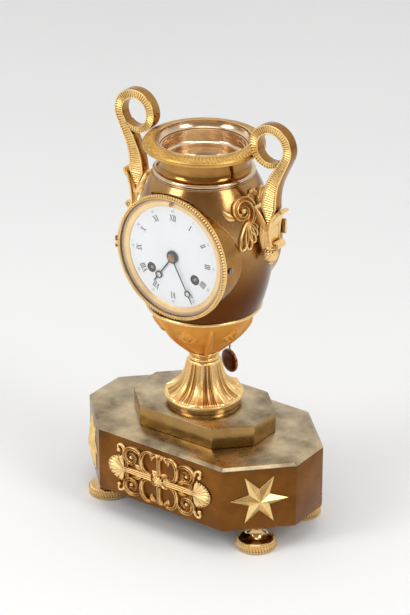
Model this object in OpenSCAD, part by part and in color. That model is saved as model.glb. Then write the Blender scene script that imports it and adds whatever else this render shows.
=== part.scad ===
/* [Plinth] */
// Length of the octagonal plinth
plinth_l = 170; // [150:1:190]
// Depth of the octagonal plinth
plinth_w = 100.8; // [96:0.2:112]
// Length of the legs of the corner chamfers
plinth_cut = 34.5; // [32:0.5:38]
// Height of the plinth's side walls
plinth_h = 44.2; // [42:0.2:52]
// Wall thickness of the plinth
plinth_wall = 2; // [1.6:0.1:2.6]
// Thickness of the webs across the plinth's ends, where the feet are bolted
web_t = 3; // [2.4:0.2:4]
// Height of the moulded top plate
top_t = 2.2; // [1.8:0.1:3]
// Inward slope of the top plate's moulding
top_bevel = 2.4; // [1.6:0.1:3]

/* [Feet] */
// Height of the feet
foot_h = 18; // [16:0.5:22]
// Largest radius of a foot
foot_r = 13; // [11:0.2:14]
// Height of the milled edge of a foot
foot_edge = 6.4; // [5:0.2:7.4]
// Radius of a foot's waist
foot_waist = 4.3; // [3.6:0.1:5]
// Inset of the feet from the middle of the chamfers
foot_inset = 9; // [8:0.5:11]
// Radius of the threaded stud on a foot
foot_stud_r = 1.9; // [1.5:0.1:2.4]

/* [Block and pedestal] */
// Length of the upper block
block_l = 98.7; // [92:0.1:104]
// Depth of the upper block
block_w = 65; // [62:0.5:68]
// Length of the legs of the block's chamfers
block_cut = 20; // [17:0.5:22]
// Height of the upper block
block_h = 15; // [12:0.5:18]
// Radius of the polished band under the pedestal
band_r = 24.5; // [22.5:0.1:25.5]
// Height of the polished band
band_h = 4.8; // [4:0.1:6]
// Radius of the pedestal's leafy rim
ped_rim_r = 26.6; // [25:0.1:28]
// Radius of the pedestal under the knop
ped_top_r = 10.4; // [9.6:0.1:11.5]
// Height of the pedestal
ped_h = 26.5; // [24.5:0.5:29]
// Outer radius of the knop's lower bead
knop_r = 10.2; // [9.4:0.1:11]
// Height of the knop
knop_h = 6.3; // [5.8:0.1:7]

/* [Bowl and body] */
// Radius of the bowl where it stands on the knop
bowl_low_r = 9.4; // [9:0.1:10]
// How far the bowl's upper edge lies inside the body's widest place
bowl_top_step = 9.3; // [8.5:0.1:10.1]
// Height of the bowl
bowl_h = 33.5; // [32.5:0.5:34.5]
// Wall thickness of the bowl
bowl_wall = 1.6; // [1.3:0.1:2]
// How far the bead ring lies inside the body's widest place
bead_step = 6.9; // [6.1:0.1:7.3]
// Height of the bead ring
bead_h = 2.7; // [2.3:0.1:3.1]
// How far the body's widest place lies outside the clock drum
body_step = 3.5; // [3:0.1:4.5]
// Height of the drum's lowest line over the body's lower edge
body_low_step = 1.2; // [1.1:0.1:2.6]
// Height of the shoulder over the drum's highest line
body_high_step = 6.2; // [5.2:0.2:7.2]
// Half height of the ellipse that the lower body follows, as a share of its height
body_low_share = 1.838; // [1.78:0.001:1.9]
// Half height of the ellipse that the upper body follows, as a share of its height
body_high_share = 1.4627; // [1.43:0.0001:1.51]
// Wall thickness of the body
body_wall = 1.5; // [1.2:0.1:1.8]

/* [Neck and mouth] */
// How far the shoulder's ring lies inside the body's widest place
shoulder_step = 12.3; // [11.5:0.1:12.9]
// Height of the ring on the shoulder
shoulder_h = 3.4; // [3:0.1:4]
// How far the neck's waist lies inside the body's widest place
neck_step = 17.1; // [16.5:0.1:17.7]
// Height of the neck
neck_h = 14.5; // [13.5:0.5:15.5]
// Wall thickness of the neck
neck_wall = 1.3; // [1:0.1:1.6]
// How far the gilt rim lies inside the body's widest place
rim_step = 6; // [5.8:0.1:6.7]
// Width of the gilt rim
rim_w = 9; // [8.5:0.1:9.5]
// Height of the gilt rim
rim_h = 5; // [4.4:0.1:5.6]
// Wall thickness of the mouth liner
liner_wall = 1.1; // [0.9:0.1:1.4]
// Depth of the mouth liner under the rim
liner_deep = 22; // [18:0.5:23]

/* [Handles] */
// How far the middles of the handle loops lie outside the body's widest place
loop_step = 7.5; // [7.1:0.1:8.5]
// Height of the loops over the rim's lower face
loop_rise = 10.7; // [10.4:0.1:11.4]
// Radius of the hole in a handle loop
loop_hole_r = 9.5; // [8.8:0.1:10]
// Width of the strip on top of a loop
strip_w = 6.3; // [5.8:0.1:6.8]
// Width of the strip where it enters the cup
strip_low_w = 11.4; // [10.4:0.2:12]
// Thickness of the handle strip
strip_t = 7.4; // [6.4:0.2:8]
// How far the handles' lower ends lie outside the body's widest place
stem_step = 6.7; // [6.3:0.1:7.5]
// Thickness of the leaf cups
cup_t = 10.6; // [9.4:0.2:12]

/* [Ornament] */
// Radius of the six-pointed stars
star_r = 19.5; // [17:0.5:20.5]
// Radius of the notches between a star's points
star_in_r = 7.9; // [7:0.1:9.4]
// Relief of the stars
star_relief = 4.6; // [3.6:0.2:5.4]
// Length of the scroll mount
mount_l = 82.6; // [76:0.2:88]
// Height of the scroll mount
mount_h = 39; // [35:0.5:40]
// Thickness of the cast scroll work
mount_t = 2.2; // [1.6:0.1:2.8]
// Width of the scrolls' strips
scroll_w = 2; // [1.6:0.1:2.4]
// Distance of the middles of the side castings from the plane of the handles
side_y = 12.65; // [12.4:0.05:13.4]
// Radius of the scrolls beside the handles
side_r = 8.2; // [7.6:0.1:8.6]
// Length of the fans under those scrolls
fan_r = 16; // [14:0.5:17]
// Radius of the pins that hold the cast ornament
pin_r = 1; // [0.8:0.1:1.3]

/* [Case and bezel] */
// Outer radius of the clock drum
case_r = 42; // [41.6:0.1:42.4]
// Wall thickness of the drum
case_wall = 1.4; // [1.2:0.1:1.6]
// Distance of the drum's front edge from the urn's axis
case_front = 34.8; // [34.4:0.1:35.4]
// Distance of the drum's rear edge from the urn's axis
case_back = 28; // [27.4:0.1:28.2]
// How far the milled bezel stands out beyond the drum
bezel_step = 0.8; // [0.4:0.1:0.9]
// Thickness of the bezel
bezel_t = 2.8; // [2.6:0.1:3.2]
// Width of the bezel's ring
bezel_w = 2.6; // [2.3:0.1:2.8]
// Thickness of the glass
glass_t = 0.8; // [0.6:0.1:0.9]
// Rise of the domed glass
glass_rise = 4.2; // [3.6:0.1:5]
// How far the rear cover lies inside the drum's outside
cover_step = 4.1; // [3.8:0.1:4.6]
// Depth of the rear cover's straight wall
cover_deep = 5.6; // [5:0.1:6.4]
// Rise of the rear cover's dome
cover_rise = 12; // [11.4:0.2:13]
// Wall thickness of the rear cover
cover_wall = 0.8; // [0.6:0.1:1]
// Radius of the hinge knuckles
knuckle_r = 1.2; // [1.1:0.05:1.4]
// Radius of the hinge pins
hinge_pin_r = 0.5; // [0.4:0.05:0.6]

/* [Dial and hands] */
// Distance of the dial's face from the urn's axis
dial_front = 34.2; // [33.8:0.1:34.4]
// Width of the dial's edge that the sight ring hides
dial_edge = 1.1; // [0.8:0.1:1.4]
// Width of the sight ring between the drum's bore and the dial
sight_w = 5; // [4.8:0.1:5.3]
// Thickness of the enamelled dial
dial_t = 1.6; // [1.2:0.1:1.8]
// Distance of the winding holes from the middle, sideways, as a share of the plates' radius
wind_side_share = 0.4817; // [0.468:0.0001:0.496]
// Distance of the winding holes under the middle, as a share of the plates' radius
wind_low_share = 0.3324; // [0.316:0.0001:0.35]
// Radius of the winding holes
wind_r = 3.4; // [3.1:0.1:3.6]
// Length of the minute hand, as a share of the dial's visible radius
minute_l_share = 0.968; // [0.9:0.001:0.985]
// Length of the hour hand, as a share of the dial's visible radius
hour_l_share = 0.742; // [0.7:0.001:0.78]
// Direction of the minute hand, clockwise from twelve
minute_dir = 151; // [0:1:359]
// Direction of the hour hand, clockwise from twelve
hour_dir = 216; // [0:1:359]

/* [Movement] */
// Gap between the drum's bore and the movement plates
plate_step = 5.1; // [4.8:0.1:5.6]
// Thickness of the movement plates
plate_t = 1.4; // [1.2:0.1:1.6]
// Space between the movement plates
plate_gap = 35.4; // [34.8:0.1:36]
// Thickness of the ring that carries dial and movement
carrier_t = 3.6; // [3.4:0.1:4]
// Radius of the wheel arbors
arbor_r = 0.8; // [0.6:0.05:0.9]
// Radius of the pillars
pillar_r = 1.9; // [1.5:0.1:2]
// Pitch radius of the great wheels, as a share of the plates' radius
great_share = 0.4056; // [0.4:0.0001:0.411]
// Pitch radius of the second and centre wheels, as a share of the plates' radius
wheel_share = 0.3245; // [0.321:0.0001:0.327]
// Pitch radius of the third wheel, as a share of the plates' radius
third_share = 0.2563; // [0.2535:0.0001:0.259]
// Tip radius of the escape wheel, as a share of the plates' radius
escape_share = 0.1859; // [0.175:0.0001:0.192]
// Thickness of the wheels
wheel_t = 0.9; // [0.7:0.1:1.1]
// Radius of the bell, as a share of the plates' radius
bell_share = 0.6197; // [0.563:0.0001:0.648]
// Depth of the bell
bell_deep = 10; // [8:0.5:10.5]

/* [Pendulum] */
// Gap between the pendulum bob and the upper block
bob_gap = 7.95; // [4.5:0.05:12]
// How far the suspension lies inside the dial's edge
pivot_step = 8.8; // [8.4:0.1:9.2]
// Distance of the pendulum behind the urn's axis
pendulum_y = 29.6; // [29.4:0.1:29.8]
// Radius of the pendulum rod
rod_r = 0.6; // [0.5:0.05:0.7]
// Radius of the pendulum bob
bob_r = 8.35; // [7.8:0.05:9]
// Thickness of the pendulum bob
bob_t = 4.6; // [3.6:0.2:5]
// Swing of the pendulum to each side, in degrees
swing = 4; // [2:0.5:4]

/* [Fits] */
// Gap between a piece and the hole or the edge that it fills
fit = 0.1; // [0.05:0.05:0.15]
// Radial clearance of turning arbors in their holes
run = 0.05; // [0.03:0.01:0.08]
// Space beside moving pieces
clear = 0.4; // [0.3:0.1:0.6]
// Overrun of cuts past the surfaces that they open
over = 1; // [0.5:0.5:2]

/* [Hidden] */
$fn = 72;

// Radii and places that follow the drum, from the outside inwards
case_in_r = case_r - case_wall;
body_r = case_r + body_step;
body_low = case_r + body_low_step;
body_high = case_r + body_high_step;
body_low_b = body_low * body_low_share;
body_high_b = body_high * body_high_share;
bowl_top_r = body_r - bowl_top_step;
bead_r = body_r - bead_step;
shoulder_r = body_r - shoulder_step;
neck_r = body_r - neck_step;
rim_r = body_r - rim_step;
rim_in_r = rim_r - rim_w;
loop_x = body_r + loop_step;
stem_x = body_r + stem_step;
bezel_r = case_r + bezel_step;
bezel_in_r = bezel_r - bezel_w;
cover_r = case_r - cover_step;
dial_r = case_in_r - sight_w;
dial_seen_r = dial_r - dial_edge;
minute_l = dial_seen_r * minute_l_share;
hour_l = dial_seen_r * hour_l_share;
plate_r = case_in_r - plate_step;
wind_x = plate_r * wind_side_share;
wind_z = plate_r * wind_low_share;
great_r = plate_r * great_share;
wheel_r = plate_r * wheel_share;
third_r = plate_r * third_share;
escape_r = plate_r * escape_share;
bell_r = plate_r * bell_share;
pivot_rise = dial_r - pivot_step;

// Heights of the stacked pieces
plinth_z = foot_h;
top_z = plinth_z + plinth_h;
block_z = top_z + top_t;
band_z = block_z + block_h;
ped_z = band_z + band_h;
knop_z = ped_z + ped_h;
bowl_z = knop_z + knop_h;
bead_z = bowl_z + bowl_h;
body_z = bead_z + bead_h;
dial_z = body_z + body_low;
shoulder_z = dial_z + body_high;
neck_z = shoulder_z + shoulder_h;
rim_z = neck_z + neck_h;
loop_z = rim_z + loop_rise;

// Places of the dial side, measured along Y
dial_y = -dial_front;
carrier_y = dial_y + dial_t;
front_plate_y = carrier_y + carrier_t;
back_plate_y = front_plate_y + plate_t + plate_gap;
movement_end_y = back_plate_y + plate_t;
bezel_back_y = -case_front - fit;
bezel_front_y = bezel_back_y - bezel_t;
glass_y = bezel_front_y + glass_t;
cover_y = case_back + clear;
pivot_z = dial_z + pivot_rise;
bob_z = band_z + bob_r + bob_gap;
pendulum_l = pivot_z - bob_z;
bell_y = pendulum_y + rod_r + over + clear;

// Direction across a chamfer, in degrees
chamfer_dir = 45;
foot_x = (plinth_l - plinth_cut) / 2 - foot_inset * cos(chamfer_dir);
foot_y = (plinth_w - plinth_cut) / 2 - foot_inset * sin(chamfer_dir);
face_y = -plinth_w / 2;
face_z = plinth_z + plinth_h / 2;

// Sizes of nuts, as shares of the bolt's radius
nut_r_share = 2;
nut_h_share = 1.4;
tie_r = 2.5;
tie_hole_r = tie_r + fit;

// Corners of an octagon with cut corners
function octagon(l, w, c) = [[l / 2, c - w / 2], [l / 2, w / 2 - c], [l / 2 - c, w / 2],
    [c - l / 2, w / 2], [-l / 2, w / 2 - c], [-l / 2, c - w / 2], [c - l / 2, -w / 2],
    [l / 2 - c, -w / 2]];
// Leg of the chamfer after all sides move in by a wall
function inner_cut(c, wall) = c - wall * (2 - sqrt(2));
// The points of a list in the opposite order
function reversed(list) = [for (i = [len(list) - 1:-1:0]) list[i]];
// Radius of the body's outside at a height, moved out by a gap
function body_at(z, gap = 0) = (body_r + gap) * sqrt(1 - pow((z - dial_z)
    / ((z < dial_z ? body_low_b : body_high_b) + gap), 2));
body_steps = 32;
function body_line(gap) = [for (i = [0:body_steps])
    let (z = body_z + (body_low + body_high) * i / body_steps) [body_at(z, gap), z]];
// Left edge of a ribbon along a list of points
function side_step(p, i) = let (a = p[max(0, i - 1)], b = p[min(len(p) - 1, i + 1)], d = b - a)
    [-d[1], d[0]] / norm(d);
function ribbon(p, w) = concat([for (i = [0:len(p) - 1]) p[i] + side_step(p, i) * w[i] / 2],
    [for (i = [len(p) - 1:-1:0]) p[i] - side_step(p, i) * w[i] / 2]);
function even(p, w) = [for (q = p) w];
// Points of a spiral about a centre, from one angle and radius to another
function spiral(c, r0, r1, a0, a1, n) = [for (i = [0:n]) let (t = i / n, a = a0 + (a1 - a0) * t,
    r = r0 + (r1 - r0) * t) c + [r * cos(a), r * sin(a)]];
// Points of a cubic curve with four control points
function cubic(a, b, c, d, n) = [for (i = [0:n]) let (t = i / n, s = 1 - t)
    a * pow(s, 3) + b * 3 * s * s * t + c * 3 * s * t * t + d * pow(t, 3)];
// Outline of a toothed wheel with slim teeth
tooth_root_share = 0.17;
tooth_tip_share = 0.08;
// Pinions have few leaves, which are slimmer for their pitch
leaf_share = 0.7;
few_leaves = 12;
function gear_line(n, tip, root, turn = 0) = [for (i = [0:n - 1], k = [0:3])
    let (share = (n < few_leaves ? leaf_share : 1)
            * ((k == 0 || k == 3) ? tooth_root_share : tooth_tip_share),
        a = turn + 360 / n * (i + (k < 2 ? -share : share)), r = (k == 0 || k == 3) ? root : tip)
    [r * cos(a), r * sin(a)]];

// Turns a flat shape to face the front, its thickness growing towards -Y from the given place
module facing(y, x = 0, z = 0) translate([x, y, z]) rotate([90, 0, 0]) children();
// A disc or tube that faces the front
module tube(y0, y1, r, bore = 0, x = 0, z = 0) facing(y1, x, z)
    linear_extrude(y1 - y0) difference() {
        circle(r);
        if (bore > 0) circle(bore);
    }
module turned(points) rotate_extrude() polygon(points);
module hex_nut(r, h) linear_extrude(h) difference() {
    circle(nut_r_share * r, $fn = 6);
    circle(r);
}
module both_sides() for (m = [0, 1]) mirror([m, 0, 0]) children();

// Box of the plinth: four long and four cut walls, and webs inside the ends
module plinth_box() color("#8a6a3a") {
    in_l = plinth_l - 2 * plinth_wall;
    in_w = plinth_w - 2 * plinth_wall;
    in_cut = inner_cut(plinth_cut, plinth_wall);
    star_x = (plinth_l - plinth_cut) / 2;
    star_y = (plinth_w - plinth_cut) / 2;
    difference() {
        union() {
            translate([0, 0, plinth_z]) linear_extrude(plinth_h) difference() {
                polygon(octagon(plinth_l, plinth_w, plinth_cut));
                polygon(octagon(in_l, in_w, in_cut));
            }
            translate([0, 0, plinth_z]) linear_extrude(web_t) difference() {
                polygon(octagon(plinth_l, plinth_w, plinth_cut));
                square([2 * (foot_x - foot_r), plinth_w], center = true);
            }
        }
        for (sx = [-1, 1], sy = [-1, 1])
            translate([sx * foot_x, sy * foot_y, plinth_z - over])
                cylinder(r = foot_stud_r + fit, h = web_t + 2 * over);
        for (sx = [-1, 1]) translate([sx * star_x, -star_y, face_z])
            rotate([90, 0, sx * chamfer_dir])
                cylinder(r = pin_r + fit, h = 4 * plinth_wall, center = true);
        for (sx = [-1, 1])
            tube(face_y - over, face_y + 2 * plinth_wall, pin_r + fit, 0, sx * mount_pin_x, face_z);
    }
}

// Moulded plate on the plinth
module plinth_top() color("#9a9468") difference() {
    hull() {
        translate([0, 0, top_z]) linear_extrude(top_t / 4)
            polygon(octagon(plinth_l, plinth_w, plinth_cut));
        translate([0, 0, block_z - top_t / 4]) linear_extrude(top_t / 4)
            polygon(octagon(plinth_l - 2 * top_bevel, plinth_w - 2 * top_bevel,
                inner_cut(plinth_cut, top_bevel)));
    }
    translate([0, 0, top_z - over]) cylinder(r = tie_hole_r, h = top_t + 2 * over);
}

// Upper octagonal block, hollow underneath
module upper_block() color("#a39c70") translate([0, 0, block_z]) difference() {
    linear_extrude(block_h) polygon(octagon(block_l, block_w, block_cut));
    translate([0, 0, -over]) linear_extrude(block_h - plinth_wall + over)
        polygon(octagon(block_l - 2 * plinth_wall, block_w - 2 * plinth_wall,
            inner_cut(block_cut, plinth_wall)));
    cylinder(r = tie_hole_r, h = block_h + over);
}

// Turned feet: a milled disc under a trumpet neck, with a stud
foot_disc_shares = [[0.93, 0], [1, 0.16], [1, 0.84], [0.95, 1]];
foot_neck_shares = [[0.82, 0.04], [0.42, 0.14], [0.12, 0.3], [0, 0.52], [0.04, 0.78], [0.16, 0.94],
    [0.2, 1]];
module feet() color("#d9a53c") for (sx = [-1, 1], sy = [-1, 1])
    translate([sx * foot_x, sy * foot_y, 0]) {
        neck = foot_h - foot_edge;
        turned(concat([[0, 0]], [for (p = foot_disc_shares) [foot_r * p[0], foot_edge * p[1]]],
            [for (p = foot_neck_shares)
                [foot_waist + (foot_r - foot_waist) * p[0], foot_edge + neck * p[1]]],
            [[0, foot_h]]));
        translate([0, 0, foot_h - over]) cylinder(r = foot_stud_r, h = over + web_t
            + (nut_h_share + 1) * foot_stud_r);
    }
module foot_nuts() color("#8c7a4a") for (sx = [-1, 1], sy = [-1, 1])
    translate([sx * foot_x, sy * foot_y, plinth_z + web_t])
        hex_nut(foot_stud_r, nut_h_share * foot_stud_r);

// Facetted six-pointed star with its pin, facing +Z
module star_body() {
    rim = [for (i = [0:11]) let (r = i % 2 == 0 ? star_r : star_in_r)
        [r * cos(30 * i), r * sin(30 * i), 0]];
    polyhedron(concat(rim, [[0, 0, star_relief], [0, 0, 0]]),
        concat([for (i = [0:11]) [i, 12, (i + 1) % 12]], [for (i = [0:11]) [i, (i + 1) % 12, 13]]));
    translate([0, 0, -1.5 * plinth_wall]) cylinder(r = pin_r, h = 1.5 * plinth_wall + over);
}
module star(side) color("#e0b04a")
    translate([side * (plinth_l - plinth_cut) / 2, -(plinth_w - plinth_cut) / 2, face_z])
        rotate([90, 0, side * chamfer_dir]) star_body();

// Pierced scroll mount on the plinth's front, its places as shares of half its length and height
mount_pin_x = mount_l * 0.17;
mount_oval_shares = [0.2, 0.52, 0.155, 0.42];
mount_curl_shares = [0.545, 0.56, 0.184, 0.03];
mount_tail_shares = [[0.69, 0.66], [0.75, 0.92], [0.84, 0.84], [0.79, 0.66]];
mount_neck_shares = [[0.62, 0.04], [0.7, 0.36]];
mount_shell_shares = [0.68, 0.47];
mount_bar_share = 0.72;
mount_stem_share = 0.9;
function on_mount(p) = [mount_l / 2 * p[0], mount_h / 2 * p[1]];
module scroll_quarter() {
    rx = mount_l / 2 * mount_oval_shares[2];
    rz = mount_h / 2 * mount_oval_shares[3];
    oval_c = on_mount(mount_oval_shares);
    curl = spiral(on_mount(mount_curl_shares), mount_l / 2 * mount_curl_shares[2],
        mount_l / 2 * mount_curl_shares[3], 175, -430, 30);
    tail = cubic(on_mount(mount_tail_shares[0]), on_mount(mount_tail_shares[1]),
        on_mount(mount_tail_shares[2]), on_mount(mount_tail_shares[3]), 8);
    link = [for (p = mount_neck_shares) on_mount(p)];
    difference() {
        polygon([for (t = [0:20:340]) oval_c + [rx * cos(t), rz * sin(t)]]);
        polygon([for (t = [0:20:340])
            oval_c + [(rx - scroll_w) * cos(t), (rz - scroll_w) * sin(t)]]);
    }
    polygon(ribbon(curl, even(curl, 0.9 * scroll_w)));
    polygon(ribbon(tail, even(tail, 0.8 * scroll_w)));
    polygon(ribbon(link, even(link, 1.4 * scroll_w)));
    translate(on_mount(mount_tail_shares[3])) circle(0.75 * scroll_w);
}
module scroll_mount() color("#e0b04a") {
    root = mount_l / 2 * mount_shell_shares[0];
    shell_r = mount_h / 2 * mount_shell_shares[1];
    shell = concat([[root, scroll_w]], [for (t = [80:-16:-80])
        [root + (mount_l / 2 - root) * cos(t), shell_r * sin(t)]], [[root, -scroll_w]]);
    boss_r = mount_h / 2 * mount_oval_shares[3];
    facing(face_y, 0, face_z) {
        linear_extrude(mount_t) {
            circle(boss_r);
            square([mount_l * mount_bar_share, 2.1 * scroll_w], center = true);
            square([2 * scroll_w, mount_h * mount_stem_share], center = true);
            for (m = [0, 1]) mirror([0, m]) translate([0, mount_h * mount_stem_share / 2])
                circle(mount_h * (1 - mount_stem_share) / 2);
            both_sides() {
                polygon(shell);
                scroll_quarter();
                mirror([0, 1]) scroll_quarter();
            }
        }
        cylinder(r = boss_r / 2, h = 1.5 * mount_t);
        both_sides() translate([mount_pin_x, 0, -plinth_wall - over])
            cylinder(r = pin_r, h = plinth_wall + over + mount_t / 2);
    }
}

// Polished band and leafy foot of the pedestal
module pedestal_band() color("#c79a4a") translate([0, 0, band_z]) difference() {
    cylinder(r = band_r, h = band_h);
    translate([0, 0, -over]) cylinder(r = tie_hole_r, h = band_h + 2 * over);
}
flare_shares = [[1, 0], [1, 0.045], [0.74, 0.11], [0.5, 0.2], [0.32, 0.33], [0.19, 0.5], [0.1, 0.7],
    [0.04, 0.88], [0, 1]];
module pedestal_foot() color("#e2b047") {
    span = ped_rim_r - ped_top_r;
    wall = ped_top_r / 4;
    outer = [for (p = flare_shares) [ped_top_r + span * p[0], ped_z + ped_h * p[1]]];
    inner = [for (p = flare_shares) if (p[1] > 0 && p[1] < 1)
        [ped_top_r - wall + span * p[0] * (1 - wall / ped_top_r), ped_z + (ped_h - wall) * p[1]]];
    cap = ped_z + ped_h - 2 * wall;
    turned(concat(outer, [[tie_hole_r, ped_z + ped_h], [tie_hole_r, cap],
        [inner[len(inner) - 1][0], cap]], reversed([for (p = inner) if (p[1] < cap) p]),
        [[inner[0][0], ped_z]]));
}

// Knop of two beads
knop_shares = [[0.86, 0], [0.96, 0.1], [1, 0.28], [0.95, 0.46], [0.8, 0.54], [0.82, 0.62], [0.9, 0.72],
    [0.91, 0.84], [0.84, 0.96], [0.82, 1]];
module knop() color("#d9a53c") turned(concat([[tie_hole_r, knop_z]],
    [for (p = knop_shares) [knop_r * p[0], knop_z + knop_h * p[1]]],
    [[tie_hole_r, bowl_z]]));

// Bowl under the body, with a slot behind for the pendulum
bowl_shares = [[0, 0], [0.11, 0.09], [0.28, 0.21], [0.47, 0.36], [0.63, 0.5], [0.78, 0.67],
    [0.9, 0.84], [1, 1]];
slot_half = (pendulum_l - bob_r) * sin(swing) + rod_r + clear;
slot_low_share = 0.4;
slot_high_share = 0.86;
module bowl() color("#d8922e") difference() {
    span = bowl_top_r - bowl_low_r;
    turned(concat([[tie_hole_r, bowl_z]],
        [for (p = bowl_shares) [bowl_low_r + span * p[0], bowl_z + bowl_h * p[1]]],
        [for (i = [len(bowl_shares) - 1:-1:1]) let (p = bowl_shares[i])
            [bowl_low_r + span * p[0] - bowl_wall, bowl_z + bowl_h * p[1]]],
        [[tie_hole_r, bowl_z + bowl_h * bowl_shares[1][1]]]));
    translate([-slot_half, bowl_low_r, bowl_z + bowl_h * slot_low_share])
        cube([2 * slot_half, bowl_top_r, bowl_h * (slot_high_share - slot_low_share)]);
}

// Half-round ring between bowl and body
module bead_ring() color("#c9a060") {
    in_r = body_at(body_z) - 2 * body_wall;
    mid_r = bead_r - bead_h / 2;
    turned(concat([[in_r, bead_z], [mid_r, bead_z]],
        [for (a = [-75:15:75]) [mid_r + bead_h / 2 * cos(a), bead_z + bead_h / 2 * (1 + sin(a))]],
        [[mid_r, body_z], [in_r, body_z]]));
}

// Rod that clamps urn, pedestal, block and plinth together, and its nuts
tie_nut_h = nut_h_share * tie_r;
tie_floor_z = bowl_z + bowl_h * bowl_shares[1][1];
tie_low_z = top_z - tie_nut_h - tie_r;
module tie_rod() color("#6f6a60") translate([0, 0, tie_low_z])
    cylinder(r = tie_r, h = tie_floor_z + tie_nut_h + tie_r / 2 - tie_low_z);
module tie_nuts() color("#8c7a4a") {
    translate([0, 0, tie_floor_z]) hex_nut(tie_r, tie_nut_h);
    translate([0, 0, top_z - tie_nut_h]) hex_nut(tie_r, tie_nut_h);
}

// Polished urn body, opened for the drum and the rear cover
cup_stud_z = dial_z + body_high * 0.37;
stud_r = 1.5;
module urn_body() color("#9a6a3c") difference() {
    turned(concat(body_line(0), reversed([for (i = [0:body_steps])
        let (z = body_z + (body_low + body_high) * i / body_steps)
        [body_at(z) - body_wall, z]])));
    tube(-body_r - over, case_back + fit, case_r + fit, 0, 0, dial_z);
    tube(-body_r - over, bezel_back_y + clear, bezel_r + 1.5 * clear, 0, 0, dial_z);
    tube(0, body_r + over, cover_r + 2 * clear, 0, 0, dial_z);
    both_sides() translate([0, 0, cup_stud_z]) rotate([0, 90, 0])
        cylinder(r = stud_r + fit, h = body_r + over);
    both_sides() for (m = [0, 1]) mirror([0, m, 0]) on_body(-side_dir, side_z)
        cylinder(r = pin_r + fit, h = 6 * body_wall, center = true);
}

// Ring on the shoulder
module shoulder_ring() color("#b98d58") {
    mid_r = shoulder_r - shoulder_h / 2;
    in_r = neck_r - neck_wall;
    turned(concat([[in_r, shoulder_z], [body_at(shoulder_z), shoulder_z]],
        [for (a = [-60:15:75])
            [mid_r + shoulder_h / 2 * cos(a), shoulder_z + shoulder_h / 2 * (1 + sin(a))]],
        [[mid_r, neck_z], [in_r, neck_z]]));
}

// Waisted neck with a flange under the rim
neck_shares = [[0.55, 0], [0.2, 0.14], [0.03, 0.36], [0, 0.58], [0.12, 0.78], [0.42, 0.9], [1, 1]];
neck_flare = neck_r * 0.16;
neck_in_share = 0.2;
neck_top_share = 0.7;
module neck() color("#a97f5a") turned(concat(
    [for (p = neck_shares) [neck_r + neck_flare * p[0], neck_z + neck_h * p[1]]],
    [[neck_r + neck_flare * neck_in_share - neck_wall, rim_z]],
    reversed([for (p = neck_shares) if (p[0] <= neck_in_share && p[1] < neck_top_share)
        [neck_r + neck_flare * p[0] - neck_wall, neck_z + neck_h * p[1]]]),
    [[neck_r + neck_flare * neck_in_share - neck_wall, neck_z]]));

// Gilt rim: a sloping top, a rounded edge and an upright outer face
rim_shares = [[1, 0], [1, 0.34], [0.96, 0.56], [0.86, 0.72], [0.5, 0.88], [0.16, 0.98], [0, 1]];
module rim_ring() color("#dcae54") turned(concat([[rim_in_r, rim_z]],
    [for (p = rim_shares) [rim_in_r + (rim_r - rim_in_r) * p[0], rim_z + rim_h * p[1]]]));

// Stepped liner of the mouth, closed below
liner_in_shares = [[1, 0.95], [1, 0.1], [0.93, 0.02], [0.9, 0.0], [0.865, -0.06], [0.855, -0.62],
    [0.82, -0.8], [0.62, -0.92], [0.0, -1]];
function liner_z(s) = s > 0 ? rim_z + rim_h * s : rim_z + liner_deep * s;
module mouth_liner() color("#a8795a") {
    r = rim_in_r - fit;
    outer = [[r, liner_z(0.95)], [r, rim_z + fit], [neck_r - neck_wall - clear, rim_z + fit],
        [neck_r - neck_wall - clear, liner_z(-0.7)], [r * 0.8, liner_z(-0.88)],
        [r * 0.62, liner_z(-1) - liner_wall / 2], [0, liner_z(-1) - liner_wall]];
    inner = [for (p = liner_in_shares) [max(0, (r - liner_wall) * p[0]), liner_z(p[1])]];
    turned(concat(inner, reversed(outer)));
}

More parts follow.
